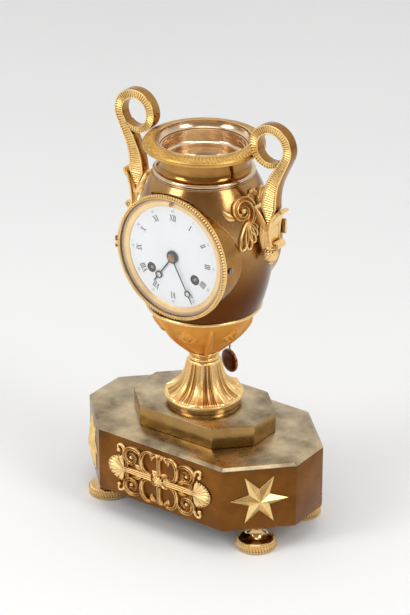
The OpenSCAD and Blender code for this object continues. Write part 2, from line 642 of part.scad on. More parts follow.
// Handles: a loop whose strip widens into an S-shaped stem
loop_width_shares = [[-33, 1], [0, 1.02], [90, 1], [180, 1.02], [210, 0.88], [240, 0.72], [270, 0.6],
    [310, 0.5]];
stem_turn = 25;
stem_low_z = cup_stud_z + 2 * stud_r + strip_w * 0.9;
cup_gap = clear;
cup_rise = strip_w * 2.1;
drop_r = cup_t * 0.42;
drop_z = dial_z + drop_r * 0.6;
cup_shares = [[-1.3, 0.25], [-2.25, 1.03], [-1.95, 1.08], [0, 0], [1.4, 0.97], [1.72, 0.88],
    [1.2, 0.5], [0.86, 0], [0.76, -0.5], [0.86, -0.76], [0.7, -1.1]];
stem_in_slope = cup_rise * 1.08 / (strip_low_w / 2 * 1.95);
stem_out_slope = cup_rise * 0.97 / (strip_low_w / 2 * 1.4);
module handle_body() {
    rc = loop_hole_r + strip_w / 2;
    loop_c = [loop_x, loop_z];
    outer = [for (a = [-26:8:310])
        loop_c + (loop_hole_r + strip_w * lookup(a, loop_width_shares)) * [cos(a), sin(a)]];
    start = loop_c + rc * [cos(stem_turn), -sin(stem_turn)];
    low = strip_low_w / 2;
    finish = [stem_x, stem_low_z + low * stem_out_slope + 2 * fit];
    entry = loop_c + rc * [cos(stem_turn / 2), -sin(stem_turn / 2)];
    reach = start[1] - finish[1];
    stem = cubic(start, start - 0.34 * reach * [sin(stem_turn), cos(stem_turn)],
        finish + [0, 0.5 * reach], finish, 16);
    widths = [for (i = [0:16]) strip_w + (strip_low_w - strip_w) * pow(i / 16, 1.3)];
    difference() {
        union() {
            linear_extrude(strip_t) polygon(outer);
            linear_extrude(strip_t) polygon(ribbon(concat([entry], stem),
                concat([strip_w * 0.7], widths)));
            linear_extrude(strip_t) polygon([[stem_x - low, stem_low_z + low * stem_in_slope + 2 * fit],
                [stem_x, stem_low_z + 2 * fit], [stem_x + low, finish[1]],
                [stem_x + low * 0.9, finish[1] + low], [stem_x - low * 0.9, finish[1] + low]]);
        }
        translate([loop_x, loop_z, -over]) cylinder(r = loop_hole_r, h = strip_t + 2 * over);
    }
}
module handle(side) color("#dcb052") mirror([side < 0 ? 1 : 0, 0, 0])
    facing(strip_t / 2) handle_body();

// Leaf cup that holds the handle: V-shaped collar, sheath, side curl and drop
module cup_line() {
    low = strip_low_w / 2;
    z0 = drop_z + drop_r;
    z1 = stem_low_z - cup_rise / 3;
    back = [for (i = [0:8]) let (z = z0 + (z1 - z0) * i / 8) [body_at(z) + cup_gap, z]];
    front = [for (p = cup_shares) [stem_x + low * p[0], stem_low_z + cup_rise * p[1]]];
    polygon(concat(back, front, [[stem_x + body_wall, z0]]));
}
module handle_cup(side) color("#dcb052") mirror([side < 0 ? 1 : 0, 0, 0]) {
    curl_r = cup_t * 0.28;
    drop_x = body_at(drop_z) + cup_gap + drop_r;
    facing(cup_t / 2) linear_extrude(cup_t) cup_line();
    tube(-cup_t / 2, cup_t / 2, curl_r, 0, stem_x + strip_low_w * 0.58,
        drop_z + drop_r + 3 * curl_r);
    translate([drop_x, 0, drop_z]) sphere(r = drop_r);
    translate([drop_x, 0, drop_z - drop_r]) sphere(r = drop_r * 0.45);
    translate([drop_x, 0, drop_z]) cylinder(r = drop_r * 0.7, h = 2 * drop_r);
    translate([body_r - 4 * stud_r, 0, cup_stud_z]) rotate([0, 90, 0])
        cylinder(r = stud_r, h = 4 * stud_r + over);
    translate([body_at(cup_stud_z) - body_wall - stud_r - 1.5 * clear, 0, cup_stud_z])
        rotate([0, 90, 0])
        rotate([0, 0, 30]) cylinder(r = nut_r_share * stud_r * 0.9, h = stud_r, $fn = 6);
}

// Scrolls and fans on the body, beside each cup
side_z = dial_z + body_high * 0.64;
fan_tip_z = dial_z + body_high * 0.54;
side_dir = asin(side_y / body_at(side_z));
fan_leaf_dirs = [-34, -17, 0, 17, 34];
module side_scroll() {
    curl = spiral([0, 0], scroll_w / 2, side_r - scroll_w / 2, 500, 60, 26);
    linear_extrude(mount_t) {
        polygon(ribbon(curl, even(curl, scroll_w)));
        circle(scroll_w);
        translate([-side_r * 0.9, -side_r * 0.25]) circle(scroll_w * 0.8);
    }
    translate([0, 0, -2 * body_wall]) cylinder(r = pin_r, h = 2 * body_wall + mount_t / 2);
}
module side_fan() linear_extrude(mount_t) {
    for (a = fan_leaf_dirs) rotate(a) translate([0, -fan_r / 2]) difference() {
        polygon([for (t = [0:20:340]) [fan_r * 0.15 * sin(t), fan_r / 2 * cos(t)]]);
        polygon([for (t = [0:20:340])
            [(fan_r * 0.15 - scroll_w / 2) * sin(t), (fan_r / 2 - scroll_w) * cos(t)]]);
    }
    circle(scroll_w);
}
// Tilt of the body's surface at a height, in degrees
function body_tilt(z) = atan((body_at(z - over) - body_at(z + over)) / (2 * over));
module on_body(dir, z) rotate([0, 0, dir]) translate([body_at(z) + fit, 0, z])
    rotate([0, 90 - body_tilt(z), 0]) rotate([0, 0, 90]) children();
module side_mount(side) color("#dcb052") mirror([side < 0 ? 1 : 0, 0, 0])
    for (m = [0, 1]) mirror([0, m, 0]) {
        on_body(-side_dir, side_z) side_scroll();
        on_body(-side_dir, fan_tip_z - fan_r / 2) translate([0, fan_r / 2, 0]) side_fan();
    }

// Drum that carries the clock through the body, with its hinge knuckles
rear_ring_r = cover_r - clear;
hinge_x = bezel_r + knuckle_r;
hinge_y = bezel_back_y - knuckle_r / 2;
rear_hinge_x = case_r - knuckle_r;
rear_hinge_y = case_back + knuckle_r + fit;
knuckle_h = 2 * knuckle_r;
screw_y = carrier_y + carrier_t / 2;
screw_r = 0.9;
module knuckle(x, y, z, h) translate([-x, y, z]) difference() {
    cylinder(r = knuckle_r, h = h);
    translate([0, 0, -over]) cylinder(r = hinge_pin_r + run, h = h + 2 * over);
}
module drum_case() color("#8f6430") difference() {
    union() {
        tube(-case_front, case_back, case_r, case_in_r, 0, dial_z);
        tube(case_back - 2 * case_wall, case_back, case_in_r + over, rear_ring_r, 0, dial_z);
        for (s = [-1, 1]) translate([0, 0, dial_z + (s > 0 ? knuckle_h / 2 + fit
            : -1.5 * knuckle_h - fit)]) {
            knuckle(hinge_x, hinge_y, 0, knuckle_h);
            translate([-hinge_x - knuckle_r / 2, -case_front, 0]) cube([3.2 * knuckle_r,
                2 * knuckle_r, knuckle_h]);
            translate([-hinge_x - knuckle_r, hinge_y, 0]) cube([knuckle_r - hinge_pin_r - run,
                -case_front - hinge_y + over, knuckle_h]);
            knuckle(rear_hinge_x, rear_hinge_y, 0, knuckle_h);
            translate([-rear_hinge_x - knuckle_r, case_back - fit, 0]) cube([2 * knuckle_r,
                knuckle_r + 2 * fit - hinge_pin_r - run, knuckle_h]);
        }
    }
    slot = 2 * (pivot_rise + case_r) * sin(swing) + 2 * rod_r + 4 * clear;
    translate([-slot / 2, case_back - 3 * case_wall, dial_z - case_r - over])
        cube([slot, 4 * case_wall, case_r - rear_ring_r + 2 * over]);
    both_sides() translate([0, screw_y, dial_z]) rotate([0, 90, 0])
        cylinder(r = screw_r + fit, h = case_r + over);
}
module case_screws() color("#8a8274") both_sides() translate([0, screw_y, dial_z])
    rotate([0, 90, 0]) difference() {
        union() {
            translate([0, 0, case_r - 4 * screw_r]) cylinder(r = screw_r, h = 5 * screw_r);
            translate([0, 0, case_r + fit]) cylinder(r = 2.2 * screw_r, h = 1.2 * screw_r);
        }
        translate([-3 * screw_r, -screw_r / 4, case_r + 0.9 * screw_r])
            cube([6 * screw_r, screw_r / 2, over]);
    }

// Bezel that swings on the left side, its glass, and the pins of both hinges
groove_r = bezel_in_r + over;
module bezel() color("#d9a845") {
    facing(bezel_back_y, 0, dial_z) turned([[groove_r, 0], [bezel_r, 0], [bezel_r, bezel_t * 0.8],
        [bezel_r - bezel_t * 0.2, bezel_t], [bezel_in_r, bezel_t],
        [bezel_in_r, bezel_t - glass_t * 0.7], [groove_r, bezel_t - glass_t * 0.7]]);
    translate([0, 0, dial_z - knuckle_h / 2]) {
        knuckle(hinge_x, hinge_y, 0, knuckle_h);
        translate([-hinge_x, bezel_front_y + bezel_t * 0.2, 0]) cube([1.6 * knuckle_r,
            hinge_y - bezel_front_y - bezel_t * 0.2 - hinge_pin_r - run, knuckle_h]);
    }
}
module bezel_glass() color("#dfe8ea") {
    r = groove_r - fit;
    dome_r = bezel_in_r - clear;
    sphere_r = (dome_r * dome_r + glass_rise * glass_rise) / (2 * glass_rise);
    steps = 12;
    top = bezel_t - glass_t * 0.7 - fit;
    dome = [for (i = [0:steps]) let (x = dome_r * (1 - i / steps))
        [x, top + sqrt(sphere_r * sphere_r - x * x) - sphere_r + glass_rise]];
    facing(bezel_back_y, 0, dial_z) turned(concat([[r, top - glass_t], [r, top]], dome,
        reversed([for (p = dome) p - [0, glass_t]])));
}
module hinge_pins() color("#8a8274") {
    h = 3 * knuckle_h + 2 * fit;
    translate([-hinge_x, hinge_y, dial_z - h / 2]) cylinder(r = hinge_pin_r, h = h);
    translate([-rear_hinge_x, rear_hinge_y, dial_z - h / 2]) cylinder(r = hinge_pin_r, h = h);
}

// Domed rear cover with a notch for the pendulum and a thumb catch
catch_h = cover_r * 0.26;
catch_share = 0.985;
module rear_cover() color("#b98a3e") {
    dome_r = cover_r - cover_wall;
    steps = 14;
    rise = [for (i = [0:steps]) let (a = 90 * i / steps)
        [cover_r * cos(a), cover_deep + cover_rise * sin(a)]];
    in_rise = [for (i = [steps:-1:0]) let (a = 90 * i / steps)
        [dome_r * cos(a), cover_deep + (cover_rise - cover_wall) * sin(a)]];
    notch = 2 * (pivot_rise + cover_r) * sin(swing) + 2 * rod_r + 10 * clear;
    notch_deep = pendulum_y + 4 * rod_r + 2 * clear - cover_y;
    difference() {
        translate([0, cover_y, dial_z]) rotate([-90, 0, 0])
            turned(concat([[dome_r, 0], [cover_r, 0]], rise, in_rise));
        translate([-notch / 2, cover_y - over, dial_z - cover_r - over])
            cube([notch, notch_deep + over, 3 * over + cover_wall]);
    }
    translate([0, 0, dial_z - knuckle_h / 2]) {
        knuckle(rear_hinge_x, rear_hinge_y, 0, knuckle_h);
        translate([hinge_pin_r + run - rear_hinge_x, rear_hinge_y - knuckle_r * 0.6, 0])
            cube([rear_hinge_x - cover_r - hinge_pin_r - run + cover_wall / 2, knuckle_r,
                knuckle_h]);
    }
    translate([cover_r * catch_share, case_back + clear, dial_z + catch_h / 2])
        cube([bezel_r + 1.5 * cover_wall - cover_r * catch_share, 2 * cover_wall, catch_h]);
    translate([bezel_r + cover_wall, case_back + clear + cover_wall, dial_z + catch_h / 2])
        cylinder(r = cover_wall, h = catch_h);
}

// Sloping sight ring around the dial, notched for the regulator arbor
regulator_z = dial_z + dial_r + 1.75 * arbor_r;
module sight_ring() color("#e0b04c") difference() {
    facing(carrier_y, 0, dial_z) turned([[dial_r + fit, 0], [case_in_r - fit, 0],
        [case_in_r - fit, case_front + carrier_y], [bezel_in_r - clear, dial_t * 2.1],
        [bezel_in_r - 2 * clear, dial_t * 2.1], [dial_seen_r + 3 * clear, dial_t * 1.35],
        [dial_seen_r, dial_t + 2 * fit], [dial_seen_r, dial_t + fit],
        [dial_r + fit, dial_t + fit]]);
    facing(carrier_y + over, 0, regulator_z) cylinder(r = 1.5 * arbor_r + fit, h = 3 * dial_t);
}
module dial_carrier() color("#b8924e") difference() {
    tube(carrier_y, front_plate_y, case_in_r - fit, plate_r - 2 * over, 0, dial_z);
    tube(carrier_y - over, front_plate_y + over, arbor_r + run, 0, 0, regulator_z);
    both_sides() translate([case_in_r - 3 * screw_r, screw_y, dial_z]) rotate([0, 90, 0])
        cylinder(r = screw_r + run, h = 4 * screw_r);
}

// Enamelled dial with its three holes, and the eyelets of the winding holes
pipe_r = 2.6;
module dial() color("#f4f4f2") difference() {
    tube(dial_y, carrier_y, dial_r, 0, 0, dial_z);
    tube(dial_y - over, carrier_y + over, pipe_r + clear, 0, 0, dial_z);
    for (s = [-1, 1])
        tube(dial_y - over, carrier_y + over, wind_r + fit, 0, s * wind_x, dial_z - wind_z);
}
module winding_eyelets() color("#8d6a35") for (s = [-1, 1])
    tube(dial_y - fit, carrier_y, wind_r, wind_r - clear * 1.5, s * wind_x, dial_z - wind_z);

// Hands with an open ring near the tip; cylinders of their hubs sit on pipe and pinion
hand_t = 0.4;
hour_y = dial_y - 1.5 * hand_t;
minute_y = hour_y - 2.5 * hand_t;
hand_hub_r = 4.4;
cannon_r = 1.5;
hour_shares = [0.17, 0.72, 0.062, 0.105];
minute_shares = [0.13, 0.76, 0.045, 0.066];
module hand(l, shares, w) {
    ring_c = l * shares[1];
    ring_r = l * shares[3];
    difference() {
        union() {
            linear_extrude(hand_t) polygon([[-w / 2, cannon_r / 2], [w / 2, cannon_r / 2],
                [w * 0.35, ring_c], [-w * 0.35, ring_c]]);
            translate([0, ring_c, 0]) cylinder(r = ring_r, h = hand_t);
            linear_extrude(hand_t) polygon([[-ring_r * 0.5, ring_c + ring_r * 0.5],
                [-w * 0.3, ring_c + ring_r * 1.5], [-w * 0.45, ring_c + ring_r * 1.9], [0, l],
                [w * 0.45, ring_c + ring_r * 1.9], [w * 0.3, ring_c + ring_r * 1.5],
                [ring_r * 0.5, ring_c + ring_r * 0.5]]);
        }
        translate([0, ring_c + ring_r * 0.12, -over]) cylinder(r = ring_r * 0.68, h = 3 * over);
    }
}
module hour_hand() color("#20242c") facing(hour_y, 0, dial_z) difference() {
    rotate(-hour_dir) {
        hand(hour_l, hour_shares, hand_t * 2.6);
        cylinder(r = hand_hub_r, h = hand_t);
    }
    translate([0, 0, -over]) cylinder(r = pipe_r, h = hand_t + 2 * over);
}
module minute_hand() color("#20242c") facing(minute_y, 0, dial_z) difference() {
    rotate(-minute_dir) {
        hand(minute_l, minute_shares, hand_t * 2);
        cylinder(r = hand_hub_r * 0.72, h = hand_t);
    }
    translate([0, 0, -over]) cylinder(r = cannon_r, h = hand_t + 2 * over);
}
centre_r = 0.7;
module hand_collet() color("#7a5a36") facing(minute_y - hand_t, 0, dial_z)
    difference() {
        union() {
            cylinder(r = hand_hub_r * 0.62, h = hand_t);
            translate([0, 0, hand_t]) cylinder(r = hand_hub_r * 0.42, h = hand_t);
        }
        translate([0, 0, -over]) cylinder(r = centre_r + run, h = 2 * hand_t + 2 * over);
    }

// Motion work: cannon pinion, minute wheel on its stud, hour wheel with its pipe
cannon_teeth = 12;
minute_teeth = 36;
minute_pinion_teeth = 10;
hour_teeth = 40;
motion_gap_share = 0.2366;
motion_gap = plate_r * motion_gap_share;
motion_dir = 150;
motion_t = 0.8;
cannon_pitch = motion_gap * cannon_teeth / (cannon_teeth + minute_teeth);
minute_pitch = motion_gap - cannon_pitch;
hour_pitch = motion_gap * hour_teeth / (hour_teeth + minute_pinion_teeth);
minute_pinion_pitch = motion_gap - hour_pitch;
motion_y = front_plate_y - fit;
hour_wheel_y = motion_y - 1.5 * motion_t;
// Tip and root heights of the teeth, as shares of the pitch radius over the tooth count
tip_share = 1.5;
root_share = 2.1;
module wheel(y, n, pitch, t, turn, bore, x = 0, z = 0) facing(y, x, dial_z + z)
    linear_extrude(t) difference() {
        polygon(gear_line(n, pitch + tip_share * pitch / n, pitch - root_share * pitch / n, turn));
        if (bore > 0) circle(bore);
    }
minute_x = motion_gap * cos(motion_dir);
minute_z = motion_gap * sin(motion_dir);
module cannon_pinion() color("#8a8378") {
    wheel(motion_y, cannon_teeth, cannon_pitch, motion_t, motion_dir, centre_r + run);
    tube(minute_y - hand_t, motion_y - motion_t, cannon_r, centre_r + run, 0, dial_z);
}
module minute_wheel() color("#c79f4a") {
    half = 180 / minute_teeth;
    pinion_half = 180 / minute_pinion_teeth;
    wheel(motion_y, minute_teeth, minute_pitch, motion_t, motion_dir + 180 + half, arbor_r + run,
        minute_x, minute_z);
    wheel(motion_y - motion_t, minute_pinion_teeth, minute_pinion_pitch, 1.6 * motion_t,
        motion_dir + 180 + pinion_half, arbor_r + run, minute_x, minute_z);
}
module hour_wheel() color("#c79f4a") {
    wheel(hour_wheel_y, hour_teeth, hour_pitch, motion_t, motion_dir, cannon_r + run);
    tube(hour_y - hand_t - fit, hour_wheel_y - motion_t, pipe_r, cannon_r + run, 0, dial_z);
}

// Places of the train's arbors, from the centre distances of their wheels and pinions
great_teeth = 72;
wheel_teeth = 72;
leaves = 9;
third_leaves = 6;
third_teeth = 70;
escape_teeth = 36;
second_gap = great_r * (1 + leaves / great_teeth);
centre_gap = wheel_r * (1 + leaves / wheel_teeth);
third_gap = wheel_r * (1 + third_leaves / wheel_teeth);
escape_gap = third_r * (1 + third_leaves / third_teeth);
barrel_far = norm([wind_x, wind_z]);
second_dir = -atan(wind_z / wind_x)
    + acos((centre_gap * centre_gap + barrel_far * barrel_far - second_gap * second_gap)
        / (2 * centre_gap * barrel_far));
second_p = centre_gap * [cos(second_dir), sin(second_dir)];
third_dir = 125;
third_p = third_gap * [cos(third_dir), sin(third_dir)];
escape_p = [0, third_p[1] + sqrt(escape_gap * escape_gap - third_p[0] * third_p[0])];
// Direction from one place to another, in degrees
function toward(a, b) = atan2(b[1] - a[1], b[0] - a[0]);
barrel_p = [wind_x, -wind_z];
great_dir = toward(barrel_p, second_p);
escape_dir = toward(third_p, escape_p);
train_front_y = front_plate_y + plate_t;
great_y = train_front_y + 4 * wheel_t;
barrel_back_y = train_front_y + plate_gap * 0.58;
second_y = barrel_back_y + 3 * wheel_t;
centre_y = second_y + 4 * wheel_t;
third_y = centre_y + 4 * wheel_t;
escape_y = third_y + 3 * wheel_t;
// The third and escape wheels turn on thinner arbors, clear of the wheels that drive them
thin_share = 0.65;
thin_r = arbor_r * thin_share;
module arbor(p, y0, y1, r = arbor_r) tube(y0, y1, r, 0, p[0], dial_z + p[1]);
module barrel(side) {
    p = [side * wind_x, -wind_z];
    turn = side > 0 ? great_dir : 180 - great_dir;
    bore = 2 * arbor_r + run;
    wheel(great_y, great_teeth, great_r, wheel_t, turn, bore, p[0], p[1]);
    tube(great_y, barrel_back_y, great_r * 0.86, great_r * 0.86 - wheel_t, p[0], dial_z + p[1]);
    tube(barrel_back_y - wheel_t, barrel_back_y, great_r * 0.84, bore, p[0], dial_z + p[1]);
    spring = spiral([0, 0], 3 * arbor_r, great_r * 0.8, 0, 360 * 4.5, 72);
    facing(barrel_back_y - 2 * wheel_t, p[0], dial_z + p[1])
        linear_extrude(barrel_back_y - great_y - 3 * wheel_t)
            polygon(ribbon(spring, even(spring, wheel_t / 2)));
}
module going_barrel() color("#c79f4a") barrel(1);
module strike_barrel() color("#c79f4a") barrel(-1);
module winding_arbor(side) color("#7d776c") {
    p = [side * wind_x, -wind_z];
    square_y = dial_y + hand_t;
    arbor(p, front_plate_y - fit, movement_end_y, 2 * arbor_r);
    facing(front_plate_y, p[0], dial_z + p[1]) linear_extrude(front_plate_y - square_y)
        square(2.6 * arbor_r, center = true);
}
module going_arbor() winding_arbor(1);
module strike_arbor() winding_arbor(-1);
module second_wheel() color("#c79f4a") {
    arbor(second_p, front_plate_y, movement_end_y);
    wheel(great_y + wheel_t, leaves, great_r * leaves / great_teeth, 3 * wheel_t,
        great_dir + 180 + 180 / leaves, 0, second_p[0], second_p[1]);
    wheel(second_y, wheel_teeth, wheel_r, wheel_t, second_dir + 180, 0, second_p[0], second_p[1]);
}
module centre_wheel() color("#c79f4a") {
    arbor([0, 0], front_plate_y, movement_end_y);
    arbor([0, 0], minute_y - 2 * hand_t - fit, front_plate_y, centre_r);
    wheel(second_y + wheel_t, leaves, wheel_r * leaves / wheel_teeth, 3 * wheel_t,
        second_dir + 180 / leaves, 0);
    wheel(centre_y, wheel_teeth, wheel_r, wheel_t, third_dir, 0);
}
module third_wheel() color("#c79f4a") {
    arbor(third_p, front_plate_y, movement_end_y, thin_r);
    wheel(centre_y + wheel_t, third_leaves, wheel_r * third_leaves / wheel_teeth, 3 * wheel_t,
        third_dir + 180 + 180 / third_leaves, 0, third_p[0], third_p[1]);
    wheel(third_y, third_teeth, third_r, wheel_t, escape_dir, 0, third_p[0], third_p[1]);
}
module escape_wheel() color("#d0aa52") {
    arbor(escape_p, front_plate_y, movement_end_y, thin_r);
    wheel(third_y + wheel_t, third_leaves, third_r * third_leaves / third_teeth, 3 * wheel_t,
        escape_dir + 180 + 180 / third_leaves, 0, escape_p[0], escape_p[1]);
    facing(escape_y, escape_p[0], dial_z + escape_p[1]) linear_extrude(wheel_t)
        polygon(gear_line(escape_teeth, escape_r, escape_r * 0.82));
}

// Plates with the holes of the arbors, and the pillars between them
pillar_far = plate_r - 1.3 * pillar_r;
pillar_dirs = [-5, 50, 120, 188, 270];
hammer_p_shares = [-0.806, -0.152];
stand_p_shares = [-0.1408, -0.0845];
hammer_p = plate_r * hammer_p_shares;
stand_p = plate_r * stand_p_shares;
train_places = [[0, 0], second_p, third_p, escape_p];
module plate(y) difference() {
    tube(y, y + plate_t, plate_r, 0, 0, dial_z);
    for (i = [0:3]) let (p = train_places[i], r = i < 2 ? arbor_r : thin_r)
        tube(y - over, y + plate_t + over, r + run, 0, p[0], dial_z + p[1]);
    for (s = [-1, 1])
        tube(y - over, y + plate_t + over, 2 * arbor_r + run, 0, s * wind_x, dial_z - wind_z);
    tube(y - over, y + plate_t + over, arbor_r + run, 0, 0, pivot_z);
    for (a = pillar_dirs) tube(y - over, y + plate_t + over, pillar_r / 2 + fit, 0,
        pillar_far * cos(a), dial_z + pillar_far * sin(a));
}
module front_plate() color("#c9a85e") {
    plate(front_plate_y);
    tube(hour_wheel_y - motion_t, front_plate_y + plate_t / 2, arbor_r, 0, minute_x,
        dial_z + minute_z);
}
module back_plate() color("#c9a85e") {
    difference() {
        plate(back_plate_y);
        tube(back_plate_y - over, movement_end_y + over, arbor_r + run, 0, hammer_p[0],
            dial_z + hammer_p[1]);
    }
    tube(back_plate_y + plate_t / 2, bell_y + bell_deep - wheel_t, 2 * arbor_r, 0, stand_p[0],
        dial_z + stand_p[1]);
    tube(bell_y + bell_deep - 2 * wheel_t, bell_y + bell_deep + 2 * wheel_t, arbor_r, 0,
        stand_p[0], dial_z + stand_p[1]);
}
module pillars() color("#c9a85e") for (a = pillar_dirs) {
    x = pillar_far * cos(a);
    z = dial_z + pillar_far * sin(a);
    tube(train_front_y, back_plate_y, pillar_r, 0, x, z);
    tube(front_plate_y, movement_end_y + plate_t, pillar_r / 2, 0, x, z);
}

// Anchor with its arbor and crutch, whose fork holds the pendulum rod
crutch_y = movement_end_y + wheel_t;
fork_z = dial_z + pivot_rise * 0.3;
fork_y = pendulum_y - rod_r - clear;
pallet_far = escape_r + 1.2 * wheel_t;
module anchor() color("#6d675e") {
    pallet = [pallet_far * sin(58), escape_p[1] + pallet_far * cos(58)];
    elbow = [pallet_far * sin(72), escape_p[1] + pallet_far * 0.86];
    arm = [[0, pivot_rise], elbow, pallet];
    gap = rod_r + clear / 2;
    arbor([0, pivot_rise], front_plate_y, cock_y + cock_t);
    facing(escape_y, 0, dial_z) linear_extrude(wheel_t) {
        both_sides() polygon(ribbon(arm, [1.8 * wheel_t, 1.3 * wheel_t, wheel_t / 2]));
        translate([0, pivot_rise]) circle(2 * arbor_r);
    }
    translate([-arbor_r, crutch_y, fork_z]) cube([2 * arbor_r, wheel_t, pivot_z - fork_z]);
    tube(crutch_y, fork_y, arbor_r, 0, 0, fork_z);
    translate([-gap - wheel_t, fork_y - wheel_t, fork_z - arbor_r])
        cube([2 * gap + 2 * wheel_t, wheel_t, 2 * arbor_r]);
    for (s = [0, 1]) mirror([s, 0, 0]) translate([gap, fork_y - fit, fork_z - arbor_r])
        cube([wheel_t, 2 * rod_r + clear, 2 * arbor_r]);
}

// Cock on the back plate that carries the anchor's arbor, the pendulum and the regulator
cock_w = 6;
cock_t = 1.4;
cock_y = crutch_y + 2.4 * wheel_t;
module suspension_cock() color("#b8924e") {
    bar_z = pivot_z + 3 * cock_t;
    translate([-cock_w / 2, movement_end_y, bar_z])
        cube([cock_w, pendulum_y + rod_r + fit - movement_end_y, cock_t]);
    difference() {
        translate([-cock_w / 2, cock_y, pivot_z - 2 * cock_t])
            cube([cock_w, cock_t, bar_z - pivot_z + 2.2 * cock_t]);
        tube(cock_y - over, cock_y + cock_t + over, arbor_r + run, 0, 0, pivot_z);
    }
    difference() {
        translate([-cock_w / 3, cock_y, bar_z + cock_t / 2])
            cube([cock_w / 1.5, cock_t, regulator_z - bar_z + cock_t]);
        tube(cock_y - over, cock_y + cock_t + over, arbor_r + run, 0, 0, regulator_z);
    }
    translate([-cock_w / 4, pendulum_y - rod_r - fit, pivot_z + fit])
        cube([cock_w / 2, 2 * rod_r + 2 * fit, bar_z - pivot_z]);
}
module regulator_arbor() color("#7d776c") {
    tube(1.6 * arbor_r - case_front, cock_y + 2 * cock_t, arbor_r, 0, 0, regulator_z);
    facing(2 * arbor_r - case_front, 0, regulator_z) linear_extrude(2.2 * arbor_r)
        square(1.3 * arbor_r, center = true);
}

// Pendulum: rod from the suspension to the lens-shaped bob
module pendulum_rod() color("#4a4038") translate([0, pendulum_y, bob_z])
    cylinder(r = rod_r, h = pendulum_l - fit);
module pendulum_bob() color("#3a1f14") difference() {
    translate([0, pendulum_y, bob_z]) rotate([90, 0, 0]) rotate(45) turned([[0, -bob_t / 2],
        [bob_r * 0.5, -bob_t * 0.46], [bob_r * 0.82, -bob_t * 0.32], [bob_r * 0.96, -bob_t * 0.14],
        [bob_r, -bob_t * 0.05], [bob_r, bob_t * 0.05], [bob_r * 0.96, bob_t * 0.14],
        [bob_r * 0.82, bob_t * 0.32], [bob_r * 0.5, bob_t * 0.46], [0, bob_t / 2]]);
    translate([0, pendulum_y, bob_z - bob_r - over]) rotate(30)
        cylinder(r = rod_r, h = 2 * (bob_r + over));
}

// Bell on its post, and the hammer beside it
module bell() color("#c9b06a") {
    wall = wheel_t;
    line = [[1, 0], [0.985, 0.12], [0.95, 0.36], [0.86, 0.62], [0.7, 0.82], [0.45, 0.95], [0.1, 1]];
    translate([stand_p[0], bell_y, dial_z + stand_p[1]]) rotate([-90, 0, 0])
        turned(concat([for (p = line) [bell_r * p[0], bell_deep * p[1]]],
            [[arbor_r + run, bell_deep], [arbor_r + run, bell_deep - wall]],
            reversed([for (p = line) [max(arbor_r + run, bell_r * p[0] - wall),
                (bell_deep - wall) * p[1]]])));
}
hammer_r = 2;
module hammer() color("#8a7440") {
    aim = 215;
    head = stand_p + (bell_r + hammer_r + clear * 1.5) * [cos(aim), sin(aim)];
    arm_y = bell_y + hammer_r;
    tube(escape_y, arm_y + wheel_t, arbor_r, 0, hammer_p[0], dial_z + hammer_p[1]);
    facing(arm_y + wheel_t, 0, dial_z) linear_extrude(wheel_t)
        polygon(ribbon([hammer_p, head], [2 * arbor_r, 2 * arbor_r]));
    translate([head[0], arm_y, dial_z + head[1]]) rotate([90, 0, 0])
        cylinder(r = hammer_r, h = 2 * hammer_r, center = true);
}

plinth_box();
plinth_top();
upper_block();
feet();
foot_nuts();
star(-1);  // star_left
star(1);  // star_right
scroll_mount();
pedestal_band();
pedestal_foot();
knop();
bowl();
bead_ring();
tie_rod();
tie_nuts();
urn_body();
shoulder_ring();
neck();
rim_ring();
mouth_liner();
handle(-1);  // handle_left
handle(1);  // handle_right
handle_cup(-1);  // handle_cup_left
handle_cup(1);  // handle_cup_right
side_mount(-1);  // side_mount_left
side_mount(1);  // side_mount_right
drum_case();
case_screws();
bezel();
bezel_glass();
hinge_pins();
rear_cover();
sight_ring();
dial_carrier();
dial();
winding_eyelets();
hour_hand();
minute_hand();
hand_collet();
regulator_arbor();
front_plate();
back_plate();
pillars();
cannon_pinion();
minute_wheel();
hour_wheel();
going_barrel();
going_arbor();
strike_barrel();
strike_arbor();
second_wheel();
centre_wheel();
third_wheel();
escape_wheel();
anchor();
suspension_cock();
pendulum_rod();
pendulum_bob();
bell();
hammer();
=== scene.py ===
"""Looks of the cassolette clock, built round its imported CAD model.

Sizes are in millimetres and are turned to metres where a mesh is made.
The dial faces -Y, +Z is up, and +X is the side of the right handle.
"""
import logging
import math
from collections.abc import Callable, Sequence
from dataclasses import dataclass, field
from enum import Enum
from functools import cache

import bmesh
import bpy
import numpy as np
from mathutils import Matrix


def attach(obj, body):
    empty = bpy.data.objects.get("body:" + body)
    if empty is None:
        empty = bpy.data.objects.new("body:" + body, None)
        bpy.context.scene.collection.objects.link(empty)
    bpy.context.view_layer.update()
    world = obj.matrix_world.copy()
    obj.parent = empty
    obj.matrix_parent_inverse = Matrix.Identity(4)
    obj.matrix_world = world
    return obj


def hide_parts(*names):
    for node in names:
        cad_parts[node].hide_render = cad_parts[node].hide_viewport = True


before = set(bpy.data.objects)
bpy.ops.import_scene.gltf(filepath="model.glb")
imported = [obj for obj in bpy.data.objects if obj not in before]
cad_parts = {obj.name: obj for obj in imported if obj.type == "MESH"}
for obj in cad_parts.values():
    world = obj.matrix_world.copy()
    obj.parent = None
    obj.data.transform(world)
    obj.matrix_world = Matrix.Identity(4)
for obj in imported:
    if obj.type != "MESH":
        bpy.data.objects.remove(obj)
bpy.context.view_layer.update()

LOG = logging.getLogger("clock")
MM = 0.001
TURN = 2 * math.pi
MERGE = 2e-6
Row = Sequence[float]
Rows = Sequence[Row] | np.ndarray
Value = float | np.ndarray
Place = Callable[[np.ndarray], np.ndarray]
SIDES = ((1, "right"), (-1, "left"))


# Lines and sections


def around(steps: int) -> np.ndarray:
    """Angles of a full turn in equal steps, the first not repeated."""
    return np.linspace(0, TURN, steps, endpoint=False)


def polar(radius: Value, angle: Value) -> np.ndarray:
    """Points of a plane from radius and angle."""
    return np.stack([radius * np.cos(angle), radius * np.sin(angle)], -1)


